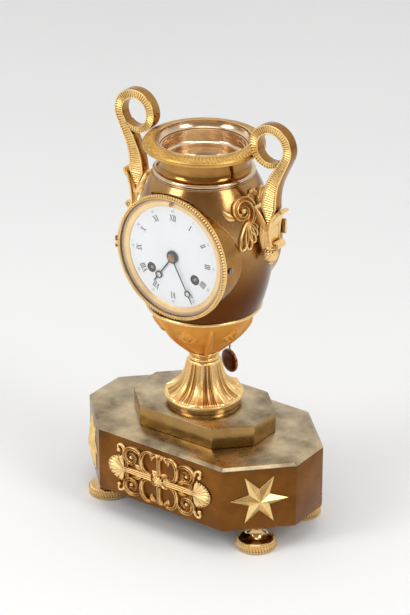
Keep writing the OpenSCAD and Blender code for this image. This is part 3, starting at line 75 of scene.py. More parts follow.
def scaled(shares: Rows, size: Row, start: Row = (0.0, 0.0)) -> np.ndarray:
    """Points from shares of a size, counted from a start."""
    return np.asarray(start) + np.asarray(size) * np.asarray(shares, float)


def lengths(path: np.ndarray) -> np.ndarray:
    """Length of a path up to each of its points."""
    return np.r_[0, np.cumsum(np.linalg.norm(np.diff(path, axis=0), axis=1))]


def normals(path: np.ndarray, closed: bool = False) -> np.ndarray:
    """Unit normals of a flat path, a quarter turn to the left of its slope.

    Args:
        path: points of the path, two coordinates each.
        closed: whether the path joins up with its start.

    Returns:
        One normal a point.
    """
    slope = np.gradient(np.concatenate([path[-1:], path, path[:1]]) if closed else path, axis=0)
    slope = slope[1:-1] if closed else slope
    slope /= np.linalg.norm(slope, axis=1, keepdims=True)
    return np.stack([-slope[:, 1], slope[:, 0]], -1)


def smooth_line(points: Rows, count: int) -> np.ndarray:
    """A smooth line through points: cubic pieces that share the slope of their neighbours.

    Args:
        points: the points it passes, in any number of dimensions.
        count: how many points the line gets, spaced evenly by chord length.

    Returns:
        The line's points, one row each.
    """
    p = np.asarray(points, float)
    d = lengths(p)
    m = np.gradient(p, d, axis=0)
    t = np.linspace(0, d[-1], count)
    i = np.clip(np.searchsorted(d, t, side="right") - 1, 0, len(d) - 2)
    h = (d[i + 1] - d[i])[:, None]
    s = (t - d[i])[:, None] / h
    return (p[i] * (1 + 2 * s) * (1 - s) ** 2 + m[i] * h * s * (1 - s) ** 2
            + p[i + 1] * s * s * (3 - 2 * s) + m[i + 1] * h * s * s * (s - 1))


def refined(points: Rows, usual: int, dense: int, where: Sequence[int]) -> np.ndarray:
    """A line of straight sides with points added along them.

    Args:
        points: the corners.
        usual: points along a side, its ends included.
        dense: the same for the sides that carry relief.
        where: numbers of the sides that carry relief.

    Returns:
        The line's points, one row each.
    """
    p = np.asarray(points, float)
    sides = [np.linspace(p[k], p[k + 1], dense if k in where else usual)[:-1]
             for k in range(len(p) - 1)]
    return np.concatenate([*sides, p[-1:]])


def rounded(points: Rows, radius: float | Row, count: int = 4) -> np.ndarray:
    """A closed outline whose corners give way to quadratic curves.

    Args:
        points: the corners, in order.
        radius: how far from each corner its curve starts, one value or one a corner.
        count: points on each curve.

    Returns:
        The outline's points: start, curve towards the corner, end, for each corner.
    """
    p = np.asarray(points, float)
    r = np.broadcast_to(np.asarray(radius, float), len(p))
    ends = []
    for shift in (1, -1):
        way = np.roll(p, shift, 0) - p
        length = np.linalg.norm(way, axis=1)
        ends.append(p + way * (np.minimum(r, 0.48 * length) / length)[:, None])
    t = np.linspace(0, 1, count)[None, :, None]
    curve = (1 - t) ** 2 * ends[0][:, None] + 2 * t * (1 - t) * p[:, None] + t * t * ends[1][:, None]
    return curve.reshape(-1, p.shape[1])


def spiral(centre: Row, radii: tuple[float, float], degrees: tuple[float, float], count: int,
           bend: float = 1.0) -> np.ndarray:
    """Points of a flat spiral: the radius goes from one value to another as the angle turns.

    Args:
        centre: the spiral's middle.
        radii: first and last radius.
        degrees: first and last angle.
        count: how many points it gets.
        bend: power of the share at which the radius changes.

    Returns:
        The spiral's points, one row each.
    """
    t = np.linspace(0, 1, count)
    angle = np.radians(degrees[0] + (degrees[1] - degrees[0]) * t)
    return np.asarray(centre, float) + polar(radii[0] + (radii[1] - radii[0]) * t ** bend, angle)


def bezier(controls: Rows, count: int) -> np.ndarray:
    """Points of a cubic curve: its four control points weighted by cubic polynomials of the share.

    Args:
        controls: the four control points.
        count: how many points the curve gets.

    Returns:
        The curve's points, one row each.
    """
    t = np.linspace(0, 1, count)[:, None]
    a, b, c, d = np.asarray(controls, float)
    return a * (1 - t) ** 3 + 3 * b * (1 - t) ** 2 * t + 3 * c * (1 - t) * t * t + d * t ** 3


def octagon(length: float, width: float, cut: float, inset: float = 0.0) -> np.ndarray:
    """A rectangle with cut corners, all its sides moved in by an inset.

    Args:
        length: full size along X.
        width: full size along Y.
        cut: how much of each side a corner's cut takes.
        inset: how far the sides are moved in.

    Returns:
        The eight corners.
    """
    x, y = length / 2 - inset, width / 2 - inset
    c = cut - inset * (2 - math.sqrt(2))
    return np.array([[x, c - y], [x, y - c], [x - c, y], [c - x, y], [-x, y - c], [-x, c - y],
                     [c - x, -y], [x - c, -y]])


def teardrop(width: float, length: float, count: int = 36) -> np.ndarray:
    """A closed drop-shaped line hanging from the origin: a sine wave wide, a cosine wave long.

    Args:
        width: its full width.
        length: how far it hangs.
        count: how many points it gets.

    Returns:
        The line's points, one row each.
    """
    t = around(count)
    down = (1 - np.cos(t)) / 2
    return np.stack([width / 2 * np.sin(t) * (0.35 + 0.65 * down), -length * down], -1)


class Section(Enum):
    """Cross sections of cast strips: points across (-1 to 1) and their share of the relief."""

    ROUND = "round"
    GROOVED = "grooved"
    RIBBED = "ribbed"
    LEAF = "leaf"

    @cache
    def points(self) -> np.ndarray:
        """The section's closed outline, its underside sunk a little under the seat.

        Returns:
            The outline's points, one row each.
        """
        u = np.linspace(-1, 1, 25)
        rise = {
            Section.ROUND: np.sqrt(np.clip(1 - u * u, 0, 1)),
            Section.GROOVED: (0.5 + 0.5 * np.cos(TURN * (np.abs(u) - 0.7))) * 0.62
            + 0.38 * (1 - u ** 8),
            Section.RIBBED: 0.5 * (1 - u ** 10) + 0.5 * np.abs(np.cos(1.5 * np.pi * u)),
            Section.LEAF: 0.55 * (1 - u ** 6) + 0.45 * np.clip(1 - 3.2 * np.abs(u), 0, 1)
            - 0.22 * np.sin(np.pi * np.abs(u)),
        }[self]
        return np.concatenate([[[-1, -0.25]], np.stack([u, rise], -1), [[1, -0.25]]])


# Surfaces


def capped(grid: np.ndarray) -> np.ndarray:
    """A grid whose first and last rows are drawn in to their middles."""
    ends = [np.broadcast_to(grid[k].mean(0), grid[k].shape)[None] for k in (0, -1)]
    return np.concatenate([ends[0], grid, ends[1]])


def turned(line: np.ndarray, steps: int = 192, rise: np.ndarray | None = None) -> np.ndarray:
    """A surface of revolution about Z: each point of the line, radius and height, goes round.

    Args:
        line: radius and height of each point.
        steps: how many times the line is repeated round the axis.
        rise: relief along the line's outward normal, one row an angle, one column a point.

    Returns:
        A grid of points, the angle first and the line second.
    """
    a = around(steps)[:, None]
    r, z = (np.broadcast_to(line[:, k], (steps, len(line))) for k in (0, 1))
    if rise is not None:
        t = np.gradient(line, axis=0)
        t /= np.maximum(np.linalg.norm(t, axis=1, keepdims=True), 1e-9)
        r, z = r + rise * t[:, 1], z - rise * t[:, 0]
    return np.stack([r * np.cos(a), r * np.sin(a), np.broadcast_to(z, r.shape)], -1)


def facing(grid: np.ndarray, y: float, x: float, z: float) -> np.ndarray:
    """Turns a surface whose height grows along Z to face the front: the height grows along -Y.

    Args:
        grid: points of the surface.
        y: where height nought comes to lie.
        x: where its X of nought comes to lie.
        z: how high its Y of nought comes to lie.

    Returns:
        The turned points.
    """
    return np.stack([grid[..., 0] + x, y - grid[..., 2], grid[..., 1] + z], -1)


def across(grid: np.ndarray, x: float, y: float, z: float) -> np.ndarray:
    """Lays a surface whose height grows along Z so that the height grows along Y.

    Args:
        grid: points of the surface.
        x: where its X of nought comes to lie.
        y: where height nought comes to lie.
        z: how high its Y of nought comes to lie.

    Returns:
        The laid points.
    """
    return np.stack([grid[..., 0] + x, grid[..., 2] + y, grid[..., 1] + z], -1)


def raised(rings: Sequence[np.ndarray], heights: Row) -> np.ndarray:
    """Flat rings of equal count set at heights."""
    return np.stack([np.c_[ring, np.full(len(ring), z)] for ring, z in zip(rings, heights)])


def prism(ring: np.ndarray, low: float, high: float) -> np.ndarray:
    """A ring carried straight up and closed at both ends."""
    return capped(raised([ring, ring], [low, high]))


def peg(radius: float, low: float, high: float, x: float, y: float) -> np.ndarray:
    """An upright round peg with softened ends.

    Args:
        radius: its radius.
        low: height of its foot.
        high: height of its top.
        x: place of its axis.
        y: place of its axis.

    Returns:
        A grid of points.
    """
    line = rounded([[0.02, low], [radius, low], [radius, high], [0.02, high]],
                   [0.01, 0.15, 0.15, 0.01], 3)
    return turned(line, 32) + [x, y, 0]


def slab(low: Row, high: Row, soft: float = 0.2) -> np.ndarray:
    """A block between two corners, its upright edges rounded."""
    ring = [[low[0], low[1]], [high[0], low[1]], [high[0], high[1]], [low[0], high[1]]]
    return prism(rounded(ring, soft), low[2], high[2])


def strip(path: np.ndarray, width: Value, height: Value, section: np.ndarray,
          closed: bool = False) -> np.ndarray:
    """A section carried along a flat path: across by half the width, up by the height.

    Args:
        path: points of the middle line, two coordinates each.
        width: the strip's full width, one value or one a point.
        height: the relief, one value or one a point.
        section: the closed outline from Section.points().
        closed: whether the path joins up with its start.

    Returns:
        A grid of points with the path first; an open strip's ends are drawn to a point.
    """
    w = np.broadcast_to(width, len(path))[:, None] / 2 * section[:, 0]
    h = np.broadcast_to(height, len(path))[:, None] * section[:, 1]
    flat = path[:, None] + normals(path, closed)[:, None] * w[..., None]
    grid = np.concatenate([flat, h[..., None]], -1)
    return grid if closed else capped(grid)


def bar(path: np.ndarray, width: Value, depth: float,
        recess: Callable[[np.ndarray, np.ndarray], np.ndarray], count: int = 29) -> np.ndarray:
    """A bar carried along a path in the XZ plane, with the same face in front and behind.

    Args:
        path: points x and z of the middle line.
        width: the bar's width along the path's normal.
        depth: its full thickness along Y.
        recess: depth of the face under the full thickness, from across (-1 to 1) and length.
        count: points over each face.

    Returns:
        A closed grid of points, the path first.
    """
    u = np.sin(np.linspace(-np.pi / 2, np.pi / 2, count))[None]
    half = np.broadcast_to(width, len(path))[:, None] / 2
    x, z = (path[:, k:k + 1] + normals(path)[:, k:k + 1] * half * u for k in (0, 1))
    y = depth / 2 - recess(u, lengths(path)[:, None])
    return capped(np.concatenate([np.stack([x, -y, z], -1), np.stack([x, y, z], -1)[:, ::-1]], 1))


def leaf(base: Row, tip: Row, width: float, height: float, bend: float = 0.0) -> np.ndarray:
    """A pointed leaf: its width is a sine of the length, and its middle line bows.

    Args:
        base: where it starts.
        tip: where it ends.
        width: full width.
        height: relief.
        bend: how far the middle line bows, as a share of the length.

    Returns:
        A grid of points.
    """
    a, b = np.asarray(base, float), np.asarray(tip, float)
    t = np.linspace(0, 1, 18)
    normal = np.array([a[1] - b[1], b[0] - a[0]])
    path = a + (b - a) * t[:, None] + normal * (bend * np.sin(np.pi * t))[:, None]
    swell = np.sin(np.pi * np.clip(t * 0.93 + 0.05, 0, 1) ** 0.8)
    return strip(path, 0.12 * width + width * swell, height * (0.35 + 0.65 * swell),
                 Section.LEAF.points())


def ball(centre: Row, radius: float | Row, count: int = 16) -> np.ndarray:
    """A ball or an ellipsoid from latitude and longitude, its poles drawn to points.

    Args:
        centre: its middle.
        radius: one radius, or one along each axis.
        count: points round its waist.

    Returns:
        A grid of points.
    """
    a, b = around(count), np.linspace(-np.pi / 2, np.pi / 2, count // 2 + 1)[:, None]
    unit = np.stack([np.cos(a) * np.cos(b), np.sin(a) * np.cos(b),
                     np.broadcast_to(np.sin(b), (len(b), count))], -1)
    return np.asarray(centre, float) + unit * np.broadcast_to(radius, 3)


def pierced(surface: Callable[[np.ndarray, np.ndarray], np.ndarray], u: np.ndarray, v: np.ndarray,
            signed: Callable[[np.ndarray], np.ndarray]) -> tuple[np.ndarray, np.ndarray]:
    """A surface, closed round u, with a clean-edged opening.

    Points close to the opening's edge slide along the surface until their distance to it is
    nought, by Newton steps on both parameters; then the triangles inside it are dropped.

    Args:
        surface: gives points from two parameter arrays.
        u: first parameter's values.
        v: second parameter's values.
        signed: distance of points to the opening's edge, negative inside it.

    Returns:
        Points and triangles.
    """
    gu, gv = (g.astype(float) for g in np.meshgrid(u, v, indexing="ij"))
    p = surface(gu, gv)
    start = signed(p)
    du, dv = (u[1] - u[0]) * 1e-3, (v[1] - v[0]) * 1e-3
    size_u = np.linalg.norm(surface(gu + du, gv) - p, axis=-1) / du
    size_v = np.linalg.norm(surface(gu, gv + dv) - p, axis=-1) / dv
    near = np.abs(start) < 0.5 * np.maximum(size_u * (u[1] - u[0]), size_v * np.gradient(gv, axis=1))
    for _ in range(4):
        s = signed(surface(gu, gv))
        su = (signed(surface(gu + du, gv)) - s) / du / size_u
        sv = (signed(surface(gu, gv + dv)) - s) / dv / size_v
        slope = np.maximum(su * su + sv * sv, 0.05)
        gu = np.where(near, gu - s * su / slope / size_u, gu)
        gv = np.where(near, gv - s * sv / slope / size_v, gv)
    state = np.where(near, 0.0, np.sign(start)).ravel()
    nu, nv = gu.shape
    i, j = np.meshgrid(np.arange(nu), np.arange(nv - 1), indexing="ij")
    k = (i + 1) % nu
    a, b, c, d = (m.ravel() for m in (i * nv + j, k * nv + j, k * nv + j + 1, i * nv + j + 1))
    other = (state[b] == 0) & (state[d] == 0) & ~((state[a] == 0) & (state[c] == 0))
    faces = np.concatenate([np.where(other, np.stack([b, c, d]), np.stack([a, b, c])).T,
                            np.where(other, np.stack([d, a, b]), np.stack([c, d, a])).T])
    keep = (state[faces].min(1) >= 0) & (state[faces].max(1) > 0)
    return surface(gu, gv).reshape(-1, 3), faces[keep]


# Finishes


def linear(colour: str) -> tuple[float, float, float, float]:
    """Turns an sRGB hex colour to the linear values that Blender's sockets take."""
    parts = [int(colour[k:k + 2], 16) / 255 for k in (1, 3, 5)]
    return (*[p / 12.92 if p <= 0.04045 else ((p + 0.055) / 1.055) ** 2.4 for p in parts], 1.0)


def node(tree: bpy.types.NodeTree, kind: str, links: dict | None = None,
         **settings: object) -> bpy.types.Node:
    """Adds a node.

    Args:
        tree: the material's or world's node tree.
        kind: the node's type name after "ShaderNode".
        links: input name or number to what feeds it: a socket, a node, which stands for its
            first output in use, or a plain value.
        settings: the node's own properties.

    Returns:
        The new node.
    """
    made = tree.nodes.new("ShaderNode" + kind)
    for key, value in settings.items():
        setattr(made, key, value)
    for key, value in (links or {}).items():
        if isinstance(value, bpy.types.Node):
            value = next(socket for socket in value.outputs if socket.enabled)
        if isinstance(value, bpy.types.NodeSocket):
            tree.links.new(value, made.inputs[key])
        else:
            made.inputs[key].default_value = value
    return made


def blank(name: str) -> tuple[bpy.types.Material, bpy.types.NodeTree, bpy.types.NodeSocket]:
    """A new material with its node tree, empty but for the object's own coordinates.

    Args:
        name: the material's name.

    Returns:
        The material, its node tree and the socket that gives Object coordinates.
    """
    material = bpy.data.materials.new(name)
    material.use_nodes = True
    material.node_tree.nodes.clear()
    return material, material.node_tree, node(material.node_tree, "TexCoord").outputs["Object"]


@dataclass(frozen=True)
class Metal:
    """Cast or turned brass and steel: a metallic shader with cloudy tone, grain, and grime with painted
    shade in recesses.

    The tone wanders between two colours in patches, recesses darken by ambient occlusion as grime and
    painted shade together, and a fine grain moves the roughness and the surface. A metal keeps the
    shader's usual IOR.
    """

    name: str
    light: str
    deep: str
    # recess: colour of the grime and painted shade that ambient occlusion lays in recesses.
    recess: str
    rough: tuple[float, float]
    patch_mm: float = 14.0
    grain_mm: float = 0.7
    grain_depth_mm: float = 0.01
    stretch: tuple[float, float, float] = (1.0, 1.0, 1.0)
    recess_mm: float = 1.6
    recess_share: float = 0.8
    contrast: float = 1.6
    # low and low_mm: a colour painted in towards the bottom and the heights over which it fades in, a
    # painted reflection.
    low: str = ""
    low_mm: tuple[float, float] = (0.0, 1.0)

    def build(self) -> bpy.types.Material:
        """Makes the material's nodes.

        Returns:
            The finished material.
        """
        material, tree, place = blank(self.name)
        patch = node(tree, "TexNoise", {"Vector": place, "Scale": 1 / (self.patch_mm * MM),
                     "Detail": 4.0, "Roughness": 0.6})
        half = 0.35 / self.contrast
        spread = node(tree, "MapRange", {"Value": patch, "From Min": 0.5 - half,
                      "From Max": 0.5 + half})
        tone = node(tree, "Mix", {0: spread, 6: linear(self.deep), 7: linear(self.light)},
                    data_type="RGBA")
        # Painted reflection: under the low_mm heights the colour turns to the low colour, standing for
        # a dark table reflected in the lower body.
        if self.low:
            height = node(tree, "SeparateXYZ", {0: place}).outputs["Z"]
            share = node(tree, "MapRange", {"Value": height, "From Min": self.low_mm[0] * MM,
                         "From Max": self.low_mm[1] * MM}, interpolation_type="SMOOTHSTEP")
            tone = node(tree, "Mix", {0: share, 6: linear(self.low), 7: tone}, data_type="RGBA")
        # Painted shade: ambient occlusion darkens recesses towards the recess colour, grime and shade
        # together.
        hollow = node(tree, "AmbientOcclusion", {"Distance": self.recess_mm * MM}, samples=6)
        grime_and_shade = node(tree, "MapRange", {"Value": hollow.outputs["AO"], "From Min": 0.35,
                    "From Max": 0.95, "To Min": self.recess_share, "To Max": 0.0})
        colour = node(tree, "Mix", {0: grime_and_shade, 6: tone, 7: linear(self.recess)}, data_type="RGBA")
        brush = node(tree, "Mapping", {"Vector": place, "Scale": self.stretch})
        grain = node(tree, "TexNoise", {"Vector": brush, "Scale": 1 / (self.grain_mm * MM),
                     "Detail": 3.0, "Roughness": 0.65})
        blend = node(tree, "Math", {0: grain, 1: patch}, operation="ADD")
        rough = node(tree, "MapRange", {"Value": blend, "From Min": 0.7, "From Max": 1.3,
                     "To Min": self.rough[0], "To Max": self.rough[1]})
        bump = node(tree, "Bump", {"Height": grain, "Strength": 1.0,
                    "Distance": self.grain_depth_mm * MM})
        shader = node(tree, "BsdfPrincipled", {"Base Color": colour, "Metallic": 1.0,
                      "Roughness": rough, "Normal": bump})
        node(tree, "OutputMaterial", {"Surface": shader})
        return material


@dataclass(frozen=True)
class Coat:
    """Enamel, ink and other smooth coats: a plain shader with faint clouds of tone."""

    name: str
    light: str
    deep: str
    rough: float
    patch_mm: float = 9.0
    coat: float = 0.0
    alpha: float = 1.0
    specular: float = 0.5

    def build(self) -> bpy.types.Material:
        """Makes the material's nodes.

        Returns:
            The finished material.
        """
        material, tree, place = blank(self.name)
        patch = node(tree, "TexNoise", {"Vector": place, "Scale": 1 / (self.patch_mm * MM),
                     "Detail": 3.0})
        tone = node(tree, "Mix", {0: patch, 6: linear(self.deep), 7: linear(self.light)},
                    data_type="RGBA")
        rough = node(tree, "MapRange", {"Value": patch, "To Min": self.rough,
                     "To Max": self.rough * 1.4})
        shader = node(tree, "BsdfPrincipled", {"Base Color": tone, "Roughness": rough,
                      "Coat Weight": self.coat, "Coat Roughness": 0.05, "Alpha": self.alpha,
                      "Specular IOR Level": self.specular})
        node(tree, "OutputMaterial", {"Surface": shader})
        return material


class Finish(Enum):
    """Every finish of the clock, named for the real material."""

    # Cast brass, fire-gilt and left satin: warm gold with soft highlights, and recesses darkened to
    # brown as grime and painted shade.
    GILT_CASTING = Metal("gilt_brass_casting", "#ffe2a6", "#f9ce84", "#7c4c18", (0.28, 0.48),
                         9.0, 0.45, 0.014, recess_mm=1.4, recess_share=0.65)
    # Burnished gilding on stars, knop, bead and the handles' faces: sharper highlights.
    GILT_BURNISHED = Metal("gilt_brass_burnished", "#fbdd9c", "#efc67e", "#7d5220", (0.22, 0.36),
                           12.0, 0.6, 0.002, recess_mm=1.0, recess_share=0.6)
    # Engine-turned gilding of the rim, whose fine cuts take the shine off.
    GILT_TURNED = Metal("gilt_brass_engine_turned", "#dcb266", "#c0924a", "#6a4214", (0.26, 0.42),
                        10.0, 0.5, 0.008, recess_mm=1.0, recess_share=0.8)
    # Matt gilding: an orange gold that hardly reflects.
    GILT_MATT = Metal("gilt_brass_matt", "#eeb45a", "#dc9842", "#7a4714", (0.42, 0.6),
                      12.0, 0.35, 0.02, recess_mm=2.4, recess_share=1.0)
    # Polished lacquered brass: a mirror with faint cloudy tarnish.
    BRASS_POLISHED = Metal("polished_brass", "#e6ca96", "#c39c66", "#5a3a18", (0.06, 0.16),
                           30.0, 1.6, 0.002, recess_mm=3.0, recess_share=0.6)
    # The same brass, darker and browner: drum, neck and the handles' edges, those faces chosen by their
    # normals.
    BRASS_BROWNED = Metal("polished_brass_browned", "#bd9050", "#8b5b2c", "#3f220c", (0.08, 0.18),
                          38.0, 1.6, 0.002, recess_mm=3.0, recess_share=0.6)
    # The same on the urn's body, painted darker brown towards the bottom: a painted reflection of a
    # dark table below.
    BRASS_BODY = Metal("polished_brass_lacquered", "#c89e68", "#986c40", "#3f220c", (0.12, 0.24),
                       38.0, 1.6, 0.002, recess_mm=3.0, recess_share=0.6, low="#5e3413",
                       low_mm=(165.0, 222.0))
    # Brass with a faint reddish tarnish inside the mouth and on the shoulder's ring.
    BRASS_ROSE = Metal("polished_rose_brass", "#ecd8bc", "#caaa86", "#6e5032", (0.12, 0.26),
                       22.0, 1.4, 0.003, recess_mm=3.0, recess_share=0.6)
    # Sheet brass rubbed along its length: brown satin sides of the plinth, the brown partly a painted
    # reflection of a dark table.
    BRASS_SATIN = Metal("satin_brass_sheet", "#8c5a28", "#603c1a", "#40260f", (0.16, 0.3),
                        26.0, 1.2, 0.004, (0.12, 0.12, 1.0), 2.0, 0.5)
    # The block's upright sides, chosen by their normals: a yellower brass than its level top.
    BRASS_WORN = Metal("upright_brass_sheet", "#b9955a", "#8d6c3e", "#4e3a1c", (0.16, 0.3),
                       20.0, 1.2, 0.004, (0.12, 0.12, 1.0), 2.0, 0.4)
    # Tarnished brass on the level tops: dull olive grey in blotches.
    BRASS_TARNISHED = Metal("tarnished_brass_sheet", "#d6c19c", "#84745a", "#66553a", (0.14, 0.36),
                            24.0, 0.9, 0.004, recess_mm=2.0, recess_share=0.4, contrast=2.1)
    # Yellow brass of the works, lacquered and fine-grained.
    BRASS_WORKS = Metal("clockwork_brass", "#d8b25c", "#b98f40", "#6b4a1c", (0.18, 0.32),
                        10.0, 0.5, 0.004)
    # Turned bronze of the bob, dark brown with a reddish sheen.
    BRONZE_DARK = Metal("dark_bronze", "#6b4030", "#3c2018", "#1c0f0a", (0.14, 0.28), 9.0, 0.6,
                        0.004)
    # Ground steel of arbors, nuts and screws.
    STEEL = Metal("ground_steel", "#a8a39a", "#85807a", "#4a453e", (0.2, 0.36), 8.0, 0.4, 0.004)
    # Blued steel hands, almost black.
    STEEL_BLUED = Metal("blued_steel", "#2a2c34", "#17181d", "#0c0c10", (0.22, 0.36), 5.0, 0.3,
                        0.002)
    # White glass enamel fired on copper, glossy and a little cool.
    ENAMEL = Coat("white_enamel", "#f0f1f3", "#e8eaec", 0.12, 16.0, 0.4)
    # Black vitreous ink of the numerals.
    INK = Coat("black_enamel_ink", "#2b2c2e", "#1a1b1c", 0.3, 3.0)
    # Thin clear glass: mostly see-through, with a faint gloss.
    GLASS = Coat("clear_clock_glass", "#ffffff", "#f4f8f8", 0.02, 30.0, 0.0, 0.07, 0.9)

    @cache
    def material(self) -> bpy.types.Material:
        """The finish's material, built once."""
        return self.value.build()


Second = tuple[Finish, Callable[[np.ndarray], np.ndarray]]


@dataclass
class Piece:
    """Gathers surfaces for one object of the scene and makes its mesh."""

    name: str
    points: list[np.ndarray] = field(default_factory=list)
    faces: list[np.ndarray] = field(default_factory=list)
    total: int = 0

    def add(self, grid: np.ndarray, loop_u: bool = False, place: Place | None = None) -> "Piece":
        """Adds a grid of points as quads, turned so that they face outwards.

        Args:
            grid: points in rows and columns; the last column joins the first.
            loop_u: whether the last row joins the first.
            place: puts the points where they belong, when the grid is in a flat frame.

        Returns:
            The piece itself.
        """
        grid = grid if place is None else place(grid)
        nu, nv = grid.shape[:2]
        i, j = np.meshgrid(np.arange(nu if loop_u else nu - 1), np.arange(nv), indexing="ij")
        p, q = (i + 1) % nu, (j + 1) % nv
        quads = np.stack([i * nv + j, p * nv + j, p * nv + q, i * nv + q], -1).reshape(-1, 4)
        return self.gather(grid.reshape(-1, 3), quads)

    def spin(self, line: np.ndarray, steps: int, rise: np.ndarray | None = None,
             place: Place | None = None) -> "Piece":
        """Adds a surface of revolution from turned(), with its arguments and add()'s place."""
        return self.add(turned(line, steps, rise), loop_u=True, place=place)

    def gather(self, points: np.ndarray, faces: np.ndarray, inside: Row | None = None) -> "Piece":
        """Adds points and faces; the flow of the outward direction through them sets their turn.

        Args:
            points: one row a point.
            faces: three or four point numbers a row.
            inside: a point behind the surface, for one that isn't closed.

        Returns:
            The piece itself.
        """
        corners = points[faces]
        middle = corners.mean(1)
        centre = middle.mean(0) if inside is None else np.asarray(inside, float)
        quad = faces.shape[1] == 4
        normal = np.cross(corners[:, 2 if quad else 1] - corners[:, 0],
                          corners[:, -1] - corners[:, 1])
        if ((middle - centre) * normal).sum() < 0:
            faces = faces[:, ::-1]
        self.points.append(points)
        self.faces.append(faces + self.total)
        self.total += len(points)
        return self

    def make(self, slot: str, finish: Finish, *replaces: str, body: str = "case",
             sharp: float = 38.0, wall: float = 0.0, bevel: float = 0.0,
             second: Second | None = None) -> None:
        """Makes the mesh and its object, and parents it to its body's empty.

        Args:
            slot: the record's material slot; not used.
            finish: the finish it wears.
            replaces: CAD nodes that it stands for.
            body: the CAD body that it rides on.
            sharp: edges that bend by more degrees than this stay sharp.
            wall: thickness that a Solidify modifier adds inwards.
            bevel: width of a Bevel modifier on its sharp edges.
            second: another finish, and which faces wear it, from their normals.
        """
        mesh = bpy.data.meshes.new(self.name)
        faces = [f for block in self.faces for f in block.tolist()]
        mesh.from_pydata((np.concatenate(self.points) * MM).tolist(), [], faces)
        work = bmesh.new()
        work.from_mesh(mesh)
        bmesh.ops.remove_doubles(work, verts=work.verts, dist=MERGE)
        bmesh.ops.dissolve_degenerate(work, dist=MERGE / 4, edges=work.edges)
        work.to_mesh(mesh)
        work.free()
        mesh.shade_smooth()
        mesh.set_sharp_from_angle(angle=math.radians(sharp))
        mesh.materials.append(finish.material())
        if second:
            mesh.materials.append(second[0].material())
            ways = np.empty(3 * len(mesh.polygons))
            mesh.polygons.foreach_get("normal", ways)
            chosen = second[1](ways.reshape(-1, 3)).astype(np.int32)
            mesh.polygons.foreach_set("material_index", chosen)
        made = bpy.data.objects.new(self.name, mesh)
        bpy.context.scene.collection.objects.link(made)
        if bevel:
            edge = made.modifiers.new("edges", "BEVEL")
            edge.width, edge.segments, edge.limit_method = bevel * MM, 2, "ANGLE"
            edge.angle_limit = math.radians(sharp)
            edge.harden_normals = True
        if wall:
            shell = made.modifiers.new("wall", "SOLIDIFY")
            shell.thickness, shell.offset = wall * MM, -1
        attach(made, body)
        if replaces:
            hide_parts(*replaces)
        LOG.info("%s: %d faces on %s", self.name, len(mesh.polygons), body)


# Plinth and feet


@dataclass
class Plinth:
    """Octagonal plinth, its moulded top plate and the block on it."""

    size: tuple[float, float, float] = (170.0, 100.8, 34.5)
    low: float = 18.0
    high: float = 62.2
    wall: float = 2.0
    web: float = 3.0
    foot_r: float = 13.0
    foot_inset: float = 9.0
    plate: float = 2.2
    bevel: float = 2.4
    block: tuple[float, float, float] = (98.7, 65.0, 20.0)
    block_h: float = 15.0
    soft: float = 0.45

    def loft(self, steps: Rows, size: Row, base: float) -> np.ndarray:
        """The octagon at insets and heights, its upright edges rounded by quadratic curves.

        Args:
            steps: pairs of inset and height.
            size: the octagon's length, width and cut.
            base: what the heights are counted from.

        Returns:
            A grid of points, one row a step.
        """
        rings = [rounded(octagon(*size, inset), self.soft) for inset, _ in steps]
        return raised(rings, [base + z for _, z in steps])

    def build(self) -> None:
        """Builds walls, plate and block by lofting octagons between insets and heights."""
        s, z0, h = self.soft, self.low, self.high - self.low
        steps = [(s, 0), (s / 4, s / 4), (0, s), (0, h - s), (s / 4, h - s / 4), (s, h),
                 (self.wall, h), (self.wall, 0)]
        box = Piece("plinth_walls").add(self.loft(steps, self.size, z0), loop_u=True)
        length, _, cut = self.size
        foot_x = (length - cut) / 2 - self.foot_inset * math.cos(math.radians(45)) - self.foot_r
        inner = octagon(*self.size, self.wall)
        for side in (-1, 1):
            end = np.array([[foot_x, inner[7][1]], inner[7], inner[0], inner[1], inner[2],
                            [foot_x, inner[2][1]]]) * [side, 1]
            box.add(prism(end, z0 + 0.05, z0 + self.web))
        box.make("satin_brass", Finish.BRASS_SATIN, "plinth_box")
        b, t = self.bevel, self.plate
        steps = [(0.3, 0), (0.02, 0.12), (0, 0.3), (0.04, 0.62), (0.35, 0.9), (0.9, 1.12), (1.5, 1.5),
                 (1.9, 1.86), (b - 0.2, 1.98), (b, 2.06), (b + 0.35, t)]
        Piece("plinth_plate").add(capped(self.loft(steps, self.size, self.high))).make(
            "patina_brass", Finish.BRASS_TARNISHED, "plinth_top")
        h = self.block_h
        steps = [(s, 0), (0, s), (0, h - s), (s / 4, h - s / 4), (s, h)]
        Piece("block").add(capped(self.loft(steps, self.block, self.high + t))).make(
            "patina_brass", Finish.BRASS_TARNISHED, "upper_block",
            second=(Finish.BRASS_WORN, self.upright))

    def upright(self, ways: np.ndarray) -> np.ndarray:
        """Which faces stand upright, from their normals."""
        return np.abs(ways[:, 2]) < 0.3


